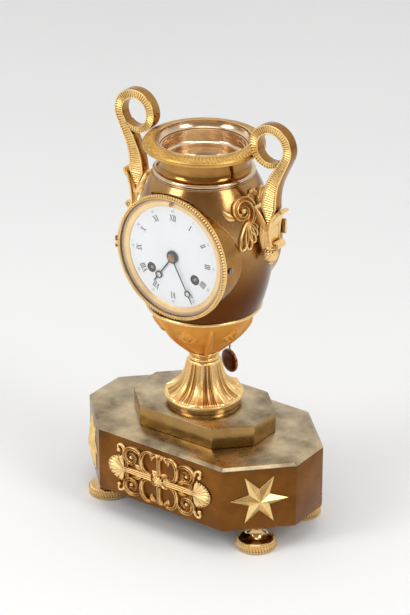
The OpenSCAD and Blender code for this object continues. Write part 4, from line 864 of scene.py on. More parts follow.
@dataclass
class Feet:
    """Four turned feet: a slantwise milled disc under a polished trumpet."""

    height: float = 18.0
    radius: float = 13.0
    edge: float = 6.4
    round: float = 0.9
    waist: float = 4.3
    at: tuple[float, float] = (61.386, 26.786)
    grooves: int = 40
    slant: float = 0.42

    def build(self) -> None:
        """Builds discs and trumpets; the milling is a slanted wave on the disc's edge."""
        r, e, b = self.radius, self.edge, self.round
        rim = rounded([[0.05, 0], [0.94 * r, 0], [r, b], [r, e - b], [0.95 * r, e], [0.05, e]],
                      [0.02, 0.5, 0.5, 0.5, 0.5, 0.02], 3)
        side = np.linspace(b, e - b, 14)
        line = np.concatenate([rim[:9], np.c_[np.full(14, r), side], rim[9:]])
        steps = self.grooves * 8
        wave = np.abs(np.sin(self.grooves / 2 * around(steps)[:, None] + self.slant * line[:, 1]))
        window = np.clip((line[:, 0] - 0.9 * r) / (0.08 * r), 0, 1)
        disc = turned(line, steps, (wave - 0.9) * 0.85 * window)
        shares = [[0.84, 0.0], [0.78, 0.035], [0.56, 0.085], [0.32, 0.17], [0.12, 0.31], [0.01, 0.52],
                  [0.03, 0.75], [0.14, 0.92], [0.2, 1.0]]
        neck = smooth_line(scaled(shares, (r - self.waist, self.height - e), (self.waist, e)), 48)
        foot = [neck[0, 0], e - 0.2]
        neck = np.concatenate([[[0.02, foot[1]], foot], neck, [[0.02, self.height]]])
        discs, necks = Piece("foot_discs"), Piece("foot_trumpets")
        for x in (-self.at[0], self.at[0]):
            for y in (-self.at[1], self.at[1]):
                discs.add(disc + [x, y, 0], loop_u=True)
                necks.add(turned(neck, 96) + [x, y, 0], loop_u=True)
        discs.make("gilt_brass", Finish.GILT_CASTING, "feet")
        necks.make("polished_brass", Finish.BRASS_POLISHED)


@dataclass
class Stars:
    """Six-pointed faceted stars on the front chamfers."""

    radius: float = 19.5
    notch: float = 7.9
    relief: float = 4.6
    lip: float = 0.5
    sunk: float = 0.1
    at: tuple[float, float, float] = (67.75, 33.15, 40.1)

    def build(self) -> None:
        """Builds each star from rings: an upright lip, then facets that rise to the middle."""
        turn = np.arange(12)
        rim = polar(np.where(turn % 2, self.notch, self.radius), np.radians(30.0 * turn))
        middle = np.zeros((12, 2))
        grid = raised([middle, rim, rim, middle], [-self.sunk, -self.sunk, self.lip, self.relief])
        x, y, h = np.moveaxis(grid, -1, 0)
        c = math.cos(math.radians(45))
        for side, word in SIDES[::-1]:
            placed = np.stack([x * c + side * (h * c + self.at[0]), side * x * c - h * c - self.at[1],
                               y + self.at[2]], -1)
            Piece(f"star_facets_{word}").add(placed).make(
                "gilt_brass", Finish.GILT_BURNISHED, f"star_{word}", sharp=4, bevel=0.12)


# Cast ornament


@dataclass
class ScrollMount:
    """Pierced scroll mount on the plinth's front, symmetrical to all four sides."""

    relief: float = 2.2
    strip_w: float = 2.5
    front: float = -50.4
    middle: float = 40.1
    fan_x: float = 28.2
    fan: tuple[float, float] = (12.2, 9.0)
    boss_r: float = 2.9

    def place(self, grid: np.ndarray) -> np.ndarray:
        """Puts (along, up, out) on the plinth's front face."""
        return facing(grid, self.front, 0.0, self.middle)

    def quarter(self) -> list[np.ndarray]:
        """One quarter of the scrolls: oval, volute, hook and buds, as (along, up, out).

        Returns:
            A grid of points for each form.
        """
        w, t = self.strip_w, self.relief
        grooved, round_ = Section.GROOVED.points(), Section.ROUND.points()
        oval = [8.3, 10.1] + polar(1.0, np.radians(np.linspace(62, 318, 40))) * [-6.3, 8.3]
        swell = np.sin(np.linspace(0.15, np.pi - 0.15, 40))
        curl = spiral([22.4, 10.6], (8.4, 0.9), (190, -400), 84, 0.8)
        body = np.interp(np.linspace(0, 1, 84), [0, 0.12, 0.3, 0.55, 0.9, 1],
                         [1.2, 2.3, 3.1, 2.0, 1.4, 1.0])
        hook = bezier([[28.6, 13.0], [29.4, 18.6], [35.6, 18.6], [33.0, 13.2]], 22)
        link = smooth_line([[13.9, 4.6], [14.6, 9.0], [14.1, 12.0]], 8)
        tie = smooth_line([[28.4, 0.6], [26.2, 3.6], [26.0, 6.6], [28.2, 8.6]], 20)
        return [
            strip(oval, w * (0.55 + 0.6 * swell), t * (0.6 + 0.35 * swell), grooved),
            strip(curl, body, t * (0.62 + 0.16 * body), grooved),
            strip(link, w * 0.8, t * 0.8, round_),
            strip(hook, np.linspace(w, w * 0.55, 22), t * 0.85, round_),
            ball([32.9, 12.9, 0.9], [1.45, 1.45, 1.5]),
            ball([22.6, 10.4, 1.1], [1.25, 1.25, 1.3]),
            leaf([3.4, 17.4], [6.6, 12.2], 3.0, t * 0.9, 0.25),
            leaf([4.0, 18.3], [8.3, 16.0], 2.6, t * 0.8, -0.2),
            leaf([15.6, 2.2], [21.8, 5.0], 2.6, t, 0.12),
            strip(tie, 1.5 + 0.9 * np.sin(np.linspace(0, np.pi, 20)), t, grooved),
        ]

    def shell(self) -> np.ndarray:
        """Shell end: a fan in polar form whose height waves with the ribs and falls to the rim.

        Returns:
            A grid of points as (along, up, out).
        """
        angle = np.radians(np.linspace(-86, 86, 127))[:, None]
        r = np.r_[0.0, 0.0, np.linspace(0.1, 1, 14), 1.0]
        ribs = np.abs(np.cos(angle * 9.6))
        wide, high = self.fan
        along = (wide + 0.7 * ribs) * np.cos(angle) * r
        up = high * (0.93 + 0.07 * ribs) * np.sin(angle) * r
        rise = self.relief * (0.62 + 0.55 * np.sqrt(np.clip(1 - r * r, 0, 1)) * r ** 0.3
                              + 0.3 * (ribs - 0.5) * np.sqrt(r))
        rise[:, [0, -1]] = -0.3
        grid = np.stack([self.fan_x + along, up, rise], -1)
        grid[[0, -1]] = grid[[0, -1]].mean(1, keepdims=True)
        return grid

    def half(self, side: int) -> list[np.ndarray]:
        """Bar, shell with its beads, stem and leaves on one side of the middle.

        Args:
            side: 1 for the right bar and the upper stem, -1 for the left bar and the lower stem.

        Returns:
            A grid of points for each form.
        """
        t, ribbed, (wide, high) = self.relief, Section.RIBBED.points(), self.fan
        beam = np.array([[6.0, 0.0], [16.0, 0.0], [29.0, 0.0]]) * [side, 1]
        stem = np.array([[0, 5.0], [0, 11.0], [0, 16.4]]) * [1, side]
        grids = [strip(beam, np.array([4.8, 4.4, 4.0]), t * 0.95, ribbed), self.shell() * [side, 1, 1]]
        grids += [ball([side * (self.fan_x + (wide + 0.7) * math.cos(a)), (high + 0.2) * math.sin(a),
                        0.9], 0.72, 8) for a in np.radians(np.linspace(-78, 78, 18))]
        grids.append(strip(stem, np.array([3.4, 2.6, 3.2]), t, ribbed))
        for tip, base, bend in (([0, 19.4], [0, 14.2], 0.0), ([3.4, 18.3], [0.6, 14.4], 0.2),
                                ([-3.4, 18.3], [-0.6, 14.4], -0.2)):
            grids.append(leaf([base[0], side * base[1]], [tip[0], side * tip[1]], 2.5, t * 1.05,
                              bend * side))
        return grids

    def rosette(self) -> list[np.ndarray]:
        """Eight leaves in turns of two lengths, a boss, a ring of beads and a button.

        Returns:
            A grid of points for each form.
        """
        t, r, grids = self.relief, self.boss_r, []
        for k, a in enumerate(around(8)):
            reach, wide = (8.4, 5.6) if k % 2 else (7.2, 5.0)
            grids.append(leaf(polar(0.6, a), polar(reach, a) * [1, 0.92], wide, t * 1.15))
        grids.append(ball([0, 0, t * 0.9], [r, r, 1.3], 24))
        grids += [ball([*polar(r, a), t], 0.8, 8) for a in around(10)]
        return [*grids, ball([0, 0, t * 1.35], [1.7, 1.7, 1.2], 20)]

    def build(self) -> None:
        """Builds the mount: quarters mirrored both ways, the halves and the rosette."""
        grids = []
        for side in (-1, 1):
            grids += [grid * [side, up, 1] for up in (-1, 1) for grid in self.quarter()]
            grids += self.half(side)
        piece = Piece("scroll_casting")
        for grid in grids + self.rosette():
            piece.add(grid, place=self.place)
        piece.make("gilt_brass", Finish.GILT_CASTING, "scroll_mount", sharp=60)


@dataclass
class Pedestal:
    """Polished band, leafy trumpet foot and the knop under the bowl."""

    band: tuple[float, float, float] = (24.5, 79.4, 84.2)
    rim: float = 26.6
    top: float = 10.4
    height: float = 26.5
    bore: float = 3.0
    knop_r: float = 10.2
    knop_h: float = 6.3
    leaves: int = 8

    def relief(self, angle: np.ndarray, s: np.ndarray) -> np.ndarray:
        """Relief of the leaves, from the angle and the share of the way up.

        Broad veined leaves and plain tongues take turns; a pair of ridges parts them. Both end
        in lobes at the rim: there the plateau stops at a half circle.

        Args:
            angle: angles, one a row.
            s: shares of the way up.

        Returns:
            Relief in millimetres, one row an angle.
        """
        g = np.abs((angle * self.leaves / TURN + 0.5) % 1 - 0.5)
        lobe = np.sqrt(np.clip(1 - (g / 0.3) ** 4, 0, 1))
        end = np.clip((s - 0.05 - 0.10 * (1 - lobe)) / 0.03, 0, 1)
        broad = np.clip((0.24 + 0.03 * np.cos(np.pi * s) - g) / 0.03, 0, 1) * end
        rib = np.exp(-(g / 0.02) ** 2)
        veins = np.abs(np.sin(28 * (s - 0.9 * g) * np.pi / 2)) * np.clip((s - 0.35) * 4, 0, 1)
        body = broad * (0.5 + 0.3 * np.cos(np.pi * g / 0.5) + 0.45 * rib - 0.28 * veins * (1 - rib))
        ridge = sum(np.exp(-((g - c) / 0.022) ** 2) for c in (0.315, 0.4))
        tongue = 0.45 * np.clip((g - 0.438) / 0.02, 0, 1) * np.clip((s - 0.08) / 0.03, 0, 1)
        fade = np.clip((0.985 - s) / 0.06, 0, 1)
        stop = np.clip((s - 0.075) / 0.04, 0, 1)
        return (body + 0.85 * ridge * stop + tongue) * (0.8 + 0.95 * (1 - s)) * fade

    def build(self) -> None:
        """Builds band and knop as turned profiles and the foot as a turned relief."""
        (r, z0, z), b, h = self.band, self.bore, self.height
        line = rounded([[b, z0], [r, z0], [r, z - 0.9], [r - 0.9, z], [b, z]],
                       [0.1, 0.35, 0.9, 0.6, 0.1], 6)
        Piece("band").spin(line, 256).make("polished_brass", Finish.BRASS_POLISHED, "pedestal_band")
        shares = [[0.955, 0.0], [1, 0.02], [0.995, 0.045], [0.86, 0.078], [0.68, 0.125], [0.5, 0.2],
                  [0.34, 0.31], [0.21, 0.47], [0.11, 0.67], [0.045, 0.86], [0.0, 0.985], [-0.02, 1.0]]
        outer = smooth_line(scaled(shares, (self.rim - self.top, h), (self.top, z)), 150)
        inner = [[b, z + h], [b, z + 20.0], [8.0, z + 18.0], [12.0, z + 7.0], [20.0, z + 2.0],
                 [24.8, z]]
        line = np.concatenate([outer, inner])
        steps = 480
        share = 0.35 * (outer[:, 1] - z) / h + 0.65 * np.linspace(0, 1, len(outer))
        rise = np.zeros((steps, len(line)))
        rise[:, :len(outer)] = self.relief(around(steps)[:, None] + TURN / 16, share)
        Piece("leafy_foot").spin(line, steps, rise).make(
            "gilt_brass", Finish.GILT_CASTING, "pedestal_foot", sharp=60)
        z, k = z + h, self.knop_h
        shares = [[0.86, 0], [0.965, 0.06], [1, 0.2], [0.985, 0.34], [0.9, 0.46], [0.8, 0.52],
                  [0.79, 0.58], [0.86, 0.66], [0.915, 0.76], [0.9, 0.88], [0.82, 0.97], [0.8, 1.0]]
        line = smooth_line(scaled(shares, (self.knop_r, k), (0, z)), 60)
        Piece("knop_beads").spin(np.concatenate([[[b, z]], line, [[b, z + k]]]), 160).make(
            "polished_brass", Finish.GILT_BURNISHED, "knop")


# Urn


@dataclass
class Urn:
    """Bowl, bead ring, body, shoulder ring, neck, rim and mouth."""

    dial_z: float = 196.4
    body_z: float = 153.2
    shoulder_z: float = 244.6
    radius: float = 45.5
    low_b: float = 79.4
    high_b: float = 70.5
    wall: float = 1.5
    drum: tuple[float, float] = (-34.5, 28.1)
    openings: tuple[float, float, float] = (43.4, 41.7, 38.7)
    bowl: tuple[float, float, float, float] = (9.4, 36.2, 117.0, 33.5)
    bowl_wall: float = 1.3
    blades: int = 6
    blade_reach: float = 0.92
    sprig_at: float = 0.66
    slot: tuple[float, float, float] = (9.3, 130.4, 145.8)
    bead: tuple[float, float, float] = (35.4, 37.2, 2.7)
    ring: tuple[float, float, float] = (27.4, 33.1, 3.4)
    neck: tuple[float, float, float, float] = (28.4, 32.94, 248.0, 14.5)
    rim: tuple[float, float, float, float] = (31.6, 39.5, 262.5, 5.0)
    arches: int = 96
    mouth: tuple[float, float, float] = (31.5, 239.6, 27.7)

    def body_at(self, z: Value) -> np.ndarray:
        """Radius of the body at heights: half ellipses over and under the dial's height.

        Args:
            z: heights.

        Returns:
            A radius for each.
        """
        d = np.asarray(z, float) - self.dial_z
        b = np.where(d < 0, self.low_b, self.high_b)
        return self.radius * np.sqrt(np.clip(1 - (d / b) ** 2, 0, 1))

    def body_point(self, u: np.ndarray, v: np.ndarray) -> np.ndarray:
        """Points of the body from angle and height."""
        return np.concatenate([polar(self.body_at(v), u), v[..., None]], -1)

    def body_edge(self, p: np.ndarray) -> np.ndarray:
        """Distance from the round openings: in front, through the drum's wall, and behind.

        Args:
            p: points of the body.

        Returns:
            Distances, negative inside an opening.
        """
        (front, back), y = self.drum, p[..., 1]
        edge = np.select([y < front, y < back], self.openings[:2], self.openings[2])
        return np.hypot(p[..., 0], p[..., 2] - self.dial_z) - edge

    def bowl_line(self, v: np.ndarray) -> tuple[np.ndarray, np.ndarray]:
        """Radius and height of the bowl's outside from the share of the way up.

        Args:
            v: shares of the way up.

        Returns:
            Radii and heights.
        """
        low, top, z, h = self.bowl
        shares = [[0, 0], [0.1, 0.075], [0.28, 0.205], [0.47, 0.355], [0.63, 0.5], [0.78, 0.67],
                  [0.9, 0.84], [1, 1]]
        line = smooth_line(shares, 200)
        r, up = (np.interp(v, np.linspace(0, 1, 200), line[:, k]) for k in (0, 1))
        return low + (top - low) * r, z + h * up

    def sprig(self, x: np.ndarray, y: np.ndarray) -> np.ndarray:
        """Relief of a sprig: a stem as a bell curve across, and round buds as bell hills.

        Args:
            x: millimetres across, from the stem.
            y: millimetres up, from the sprig's middle.

        Returns:
            The relief at each point.
        """
        stem = np.exp(-(x / 0.45) ** 2) * (np.abs(y) < 5.4) * 0.45
        pairs = ((1.7, 1.4, 0.9), (1.1, 3.3, 0.8), (2.6, -1.2, 0.9), (3.6, 0.2, 0.7), (1.5, -2.6, 0.8))
        buds = ((0, 2.2, 1.5), (0, 4.6, 0.9), (0, -0.4, 0.9),
                *((side * a, b, c) for a, b, c in pairs for side in (-1, 1)))
        hills = sum(np.exp(-((x - a) ** 2 + (y - b) ** 2) / c) for a, b, c in buds)
        return np.clip(1.3 * stem + 1.2 * hills, 0, 1.4)

    def bowl_point(self, u: np.ndarray, v: np.ndarray) -> np.ndarray:
        """Points of the bowl from angle and share: folded blades and small sprigs in relief.

        Args:
            u: angles.
            v: shares of the way up.

        Returns:
            The points.
        """
        r, z = self.bowl_line(v)
        turn, reach = u * self.blades / TURN, self.blade_reach
        half = 0.13 * np.clip(1 - v / reach, 0, 1) ** 0.55 + 1e-4
        blade = np.clip(1 - np.abs((turn + 0.27) % 1 - 0.5) / half, 0, 1) ** 0.75 * (v < reach)
        x = ((turn + 0.77) % 1 - 0.5) * r * TURN / self.blades / 1.35
        rise = (1.25 * blade * np.clip((reach - v) / 0.1, 0, 1)
                + self.sprig(x, (v - self.sprig_at) * 30))
        return np.concatenate([polar(r + rise * 1.25, u), (z - rise * 0.6)[..., None]], -1)

    def slot_edge(self, p: np.ndarray) -> np.ndarray:
        """Distance from the pendulum's slot, a rectangle in the bowl's back.

        Args:
            p: points of the bowl.

        Returns:
            Distances, negative inside the slot.
        """
        half, z0, z1 = self.slot
        d = np.maximum(np.abs(p[..., 0]) - half, np.abs(p[..., 2] - (z0 + z1) / 2) - (z1 - z0) / 2)
        return np.where(p[..., 1] > 0, d, 9.0)

    def build(self) -> None:
        """Builds body and bowl as pierced sheets with walls, and the rest as turned profiles."""
        v = np.linspace(self.body_z, self.shoulder_z, 112)
        Piece("body_shell").gather(*pierced(self.body_point, around(384), v, self.body_edge),
                                   inside=[0, 0, self.dial_z]).make(
            "polished_brass", Finish.BRASS_BODY, "urn_body", wall=self.wall)
        _, _, z, h = self.bowl
        v = np.linspace(0.0, 1.0, 96)
        Piece("bowl_relief").gather(*pierced(self.bowl_point, around(432), v, self.slot_edge),
                                    inside=[0, 0, z + 0.8 * h]).make(
            "matt_gilding", Finish.GILT_MATT, "bowl", sharp=60, wall=self.bowl_wall)
        (bore, r, h), z = self.bead, self.body_z
        bead = scaled(polar(1.0, np.radians(np.linspace(-86, 86, 24))), (1.4, 1.33), (r, z - h / 2))
        Piece("bead").spin(np.concatenate([[[bore, z - h]], bead, [[bore, z]]]), 256).make(
            "polished_brass", Finish.GILT_BURNISHED, "bead_ring")
        (bore, r, h), z = self.ring, self.shoulder_z
        bead = scaled(polar(1.0, np.radians(np.linspace(-64, 88, 22))), (1.55, 1.5),
                      (r - 1.5, z + h - 1.55))
        ring = np.concatenate([[[bore, z], [r, z], [r + 0.05, z + 0.35], [r - 0.35, z + 0.6]], bead,
                               [[r - 2.5, z + h], [bore, z + h]]])
        Piece("shoulder_bead").spin(ring, 256).make("gilt_brass", Finish.BRASS_ROSE, "shoulder_ring")
        self.build_neck()
        self.build_rim()
        self.build_mouth()

    def build_neck(self) -> None:
        """Builds the neck, a waisted sleeve that flares under the rim."""
        r0, r1, z, h = self.neck
        shares = [[0.5, 0], [0.3, 0.06], [0.15, 0.16], [0.03, 0.36], [0, 0.56], [0.07, 0.74],
                  [0.28, 0.88], [0.62, 0.95], [1, 1]]
        outer = smooth_line(scaled(shares, (r1 - r0, h), (r0, z)), 64)
        inner = [[r0 - 0.4, z + h], [r0 - 1.1, z + 0.8 * h], [r0 - 1.3, z + 0.4 * h], [r0 - 0.5, z]]
        Piece("neck_sleeve").spin(np.concatenate([outer, inner]), 256).make(
            "rose_brass", Finish.BRASS_BROWNED, "neck")

    def build_rim(self) -> None:
        """Builds the rim; arches and fine dots run round its slope as relief."""
        r0, r1, z, h = self.rim
        shares = refined([[1, 0.04], [1.0, 0.3], [0.985, 0.42], [0.945, 0.5], [0.92, 0.53],
                          [0.9, 0.6], [0.5, 0.83], [0.13, 0.945], [0.11, 0.985], [0.05, 1.0],
                          [0.0, 0.96]], 5, 18, (5, 6))
        line = np.concatenate([scaled(shares, (r1 - r0, h), (r0, z)), [[r0, z], [r1 - 0.2, z]]])
        steps = 1152
        angle = around(steps)[:, None]
        s = np.r_[shares[:, 0], 2.0, 2.0]
        slope = (s > 0.15) & (s < 0.89)
        way = (s - 0.15) / 0.74
        arch = np.abs(np.sin(self.arches / 2 * angle)) ** 0.6
        wave = 0.5 * arch * np.clip(1.25 - way, 0, 1) + 0.3 * np.cos(self.arches * angle) * way
        dots = 0.16 * np.sin(4 / 3 * self.arches * angle) * np.sin(way * 16)
        Piece("engine_turned_rim").spin(line, steps, (wave + dots - 0.3) * slope).make(
            "gilt_brass", Finish.GILT_TURNED, "rim_ring", sharp=60)

    def build_mouth(self) -> None:
        """Builds the stepped liner of the mouth, from the middle of its floor out to the rim."""
        r, floor, h = self.mouth
        inner = smooth_line([[0.02, 1.0], [12, 1.6], [19.5, 3.2], [23.2, 6.0], [24.6, 9.8],
                             [24.8, 13.4]], 40)
        upper = smooth_line([[24.9, 13.8], [25.9, 14.6], [26.5, 16.8], [26.9, 19.6], [27.8, 22.0],
                             [29.6, 24.2], [30.4, 26.2], [r - 0.9, h]], 50)
        outer = [[r, h], [r, 23.2], [27.0, 22.4], [26.6, 8.4], [24.0, 3.4], [18.0, 1.0], [0.02, 0.0]]
        Piece("mouth_lining").spin(np.concatenate([inner, upper, outer]) + [0, floor], 256).make(
            "rose_brass", Finish.BRASS_ROSE, "mouth_liner")


# Handles and side mounts


@dataclass
class Handles:
    """Two scroll handles, each in a leafy cup with a volute and an acorn drop."""

    loop: tuple[float, float] = (53.0, 273.2)
    hole: float = 9.5
    strip_w: float = 6.3
    low_w: float = 11.4
    depth: float = 7.4
    stem_x: float = 52.2
    stem_z: float = 232.3
    point_z: float = 219.2
    ridge: float = 1.6
    cup_depth: float = 10.2
    arm_z: float = 217.4
    volute: tuple[float, float] = (6.0, 207.4)
    stud_z: float = 214.2
    drop_x: float = 51.9

    def ribbed(self, u: np.ndarray, s: np.ndarray) -> np.ndarray:
        """Recess of a handle's face: rounded borders, and between them ridges across.

        Args:
            u: places across, -1 to 1.
            s: lengths along.

        Returns:
            Depth under the full thickness.
        """
        g = np.abs(u)
        border = np.clip((g - 0.9) / 0.1, 0, 1) ** 2 * 0.5
        inside = np.clip((0.74 - g) / 0.06, 0, 1)
        return border + inside * (0.8 - 0.58 * np.abs(np.cos(np.pi * s / self.ridge)) ** 0.7)

    def fluted(self, u: np.ndarray, s: np.ndarray) -> np.ndarray:
        """Recess of a cup's face: double borders round a hollow with lengthwise flutes.

        Args:
            u: places across, -1 to 1.
            s: lengths along.

        Returns:
            Depth under the full thickness.
        """
        g = np.abs(u)
        border = np.clip((g - 0.94) / 0.06, 0, 1) ** 2 * 0.4
        line = 0.22 * np.exp(-((g - 0.83) / 0.03) ** 2)
        hollow = np.clip((0.74 - g) / 0.06, 0, 1) * np.clip(s / 2.2, 0, 1)
        flutes = 0.16 * np.cos(TURN * (u * 3.4 + 0.05 * s))
        return border + line + hollow * (0.75 + 0.7 * np.clip(1 - (g / 0.75) ** 2, 0, 1) + flutes)

    def edged(self, u: np.ndarray, s: np.ndarray) -> np.ndarray:
        """Recess of a collar's face: rounded edges and a fine line inside each.

        Args:
            u: places across, -1 to 1.
            s: lengths along, for their count alone.

        Returns:
            Depth under the full thickness.
        """
        g = np.broadcast_to(np.abs(u), (len(s), u.shape[1]))
        return np.clip((g - 0.85) / 0.15, 0, 1) ** 2 * 0.45 + 0.2 * np.exp(-((g - 0.6) / 0.08) ** 2)

    def handle_path(self) -> tuple[np.ndarray, np.ndarray]:
        """Middle line and width of a handle, from the curl's end round the loop to the point.

        Returns:
            Points x and z, and the width at each.
        """
        end = -25
        degrees = np.linspace(312, end, 420)
        share = np.interp(degrees, [-33, 0, 90, 180, 210, 240, 270, 312],
                          [1, 1.02, 1, 1.02, 0.9, 0.76, 0.64, 0.4])
        w = self.strip_w * share
        loop = self.loop + polar(self.hole + w / 2, np.radians(degrees))
        finish = np.array([self.stem_x, self.stem_z])
        reach = loop[-1, 1] - finish[1]
        back = math.radians(end)
        stem = bezier([loop[-1], loop[-1] + 0.34 * reach * np.array([math.sin(back), -math.cos(back)]),
                       finish + [0, 0.5 * reach], finish], 260)[1:]
        grow = self.strip_w + (self.low_w - self.strip_w) * np.linspace(0, 1, 260)[1:] ** 1.3
        tail = np.c_[np.full(60, self.stem_x), np.linspace(self.stem_z - 0.1, self.point_z, 60)]
        point = np.linspace(self.low_w, 0.3, 60)
        return np.concatenate([loop, stem, tail]), np.concatenate([w, grow, point])

    def edgewise(self, ways: np.ndarray) -> np.ndarray:
        """Which faces look sideways along the strip's edges, from their normals."""
        return np.abs(ways[:, 1]) < 0.45

    def outer_leaf(self) -> np.ndarray:
        """The leaf on a cup's outer side: a strip across Y along a hollow line in the XZ plane.

        The veined face looks outwards, sunk between two borders by fluted(); the rest of the
        strip lies 1.5 mm further in.

        Returns:
            A grid of points.
        """
        line = [[9.4, 231.9], [7.0, 229.2], [4.9, 225.4], [3.7, 221.0], [3.2, 215.8], [3.5, 211.2],
                [4.9, 207.6]]
        path = smooth_line(scaled(line, (1, 1), (self.stem_x, 0)), 120)
        length = lengths(path)[:, None]
        u = np.sin(np.linspace(-np.pi / 2, np.pi / 2, 45))[None]
        half = np.interp(length, [0, 3, 9, 18, 26], [3.0, 5.0, 6.4, 6.3, 4.8])
        sunk = self.fluted(u, length)
        both = np.concatenate([-sunk, np.full_like(sunk, -1.5)], 1)
        x, z = (path[:, k:k + 1] + normals(path)[:, k:k + 1] * both for k in (0, 1))
        return capped(np.stack([x, np.concatenate([u, -u], 1) * half, z], -1))

    def cup(self) -> list[np.ndarray]:
        """Surfaces of one cup on the right side: collar, leaf, volute, beads and stud.

        Returns:
            A grid of points for each form.
        """
        x, deep, grids = self.stem_x, self.cup_depth, []
        share, start = np.linspace(0, 1, 40), [-0.3, self.arm_z]
        for ends, widths in (([[2.9, 223.2], [4.3, 228.2], [9.3, 231.4]], [3.0, 3.0, 2.0, 1.4]),
                             ([[-4.0, 223.2], [-6.4, 228.6], [-10.0, 231.6]], [3.0, 3.2, 2.2, 1.2])):
            path = bezier(scaled([start, *ends], (1, 1), (x, 0)), 40)
            grids.append(bar(path, np.interp(share, [0, 0.3, 0.85, 1], widths), deep, self.edged))
        line = smooth_line(scaled([[-0.9, 221.6], [-1.2, 217.0], [-1.2, 212.0], [-0.7, 207.8],
                                   [-0.3, 204.6]], (1, 1), (x, 0)), 90)
        width = np.interp(line[:, 1], [204.6, 207.8, 212.0, 217.0, 220.0, 221.6],
                          [5.6, 7.6, 8.6, 8.4, 7.6, 4.0])
        grids.append(bar(line, width, deep, self.fluted, 41))
        curl = (x + self.volute[0], self.volute[1])
        roll = spiral(curl, (2.6, 0.7), (165, -300), 64)
        grids.append(bar(roll, np.linspace(1.4, 0.9, 64), deep - 1.6, self.edged, 15))
        core = deep / 2 - 1.3
        grids.append(across(prism(polar(2.3, around(40)), -core, core), curl[0], 0, curl[1]))
        grids.append(across(prism(polar(1.15, around(40)), -3.6, 3.6), x + 9.8, 0, 231.8))
        grids += [ball([self.drop_x + bx, by, 202.9], 0.8, 12) for bx, by in polar(4.2, around(14))]
        stud = prism(polar(1.5, around(40)), 39.5, 47.5)
        grids.append(np.stack([stud[..., 2], stud[..., 0], stud[..., 1] + self.stud_z], -1))
        return grids

    def drop(self) -> np.ndarray:
        """The acorn under a cup: a turned drop whose middle is a lattice of crossing sine waves.

        Returns:
            A grid of points, the angle first.
        """
        line = smooth_line([[0.0, 206.2], [3.4, 206.0], [4.4, 204.9], [4.1, 203.6], [3.6, 203.1],
                            [4.1, 202.2], [5.0, 200.6], [5.0, 198.6], [4.3, 196.6], [3.0, 195.3],
                            [1.7, 194.7], [1.95, 194.0], [1.8, 193.2], [1.0, 192.75],
                            [0.0, 192.65]], 110)[::-1]
        z, angle = line[:, 1], 6 * around(160)[:, None]
        on = np.clip((z - 195.2) / 0.8, 0, 1) * np.clip((202.4 - z) / 0.8, 0, 1)
        lattice = np.abs(np.sin(angle + 1.05 * z) * np.sin(angle - 1.05 * z))
        return turned(line, 160, on * (0.38 * lattice ** 0.7 - 0.2)) + [self.drop_x, 0, 0]

    def build(self) -> None:
        """Builds both handles and both cups."""
        path, width = self.handle_path()
        scroll = bar(path, width, self.depth, self.ribbed, 35)
        for side, word in SIDES:
            mirror = np.array([side, 1, 1])
            Piece(f"handle_scroll_{word}").add(scroll * mirror).make(
                "gilt_brass", Finish.GILT_BURNISHED, f"handle_{word}", sharp=50,
                second=(Finish.BRASS_BROWNED, self.edgewise))
            cup = Piece(f"cup_leaf_{word}")
            for grid in [*self.cup(), self.outer_leaf()]:
                cup.add(grid * mirror)
            cup.add(self.drop() * mirror, loop_u=True)
            cup.make("gilt_brass", Finish.GILT_CASTING, f"handle_cup_{word}", sharp=50)


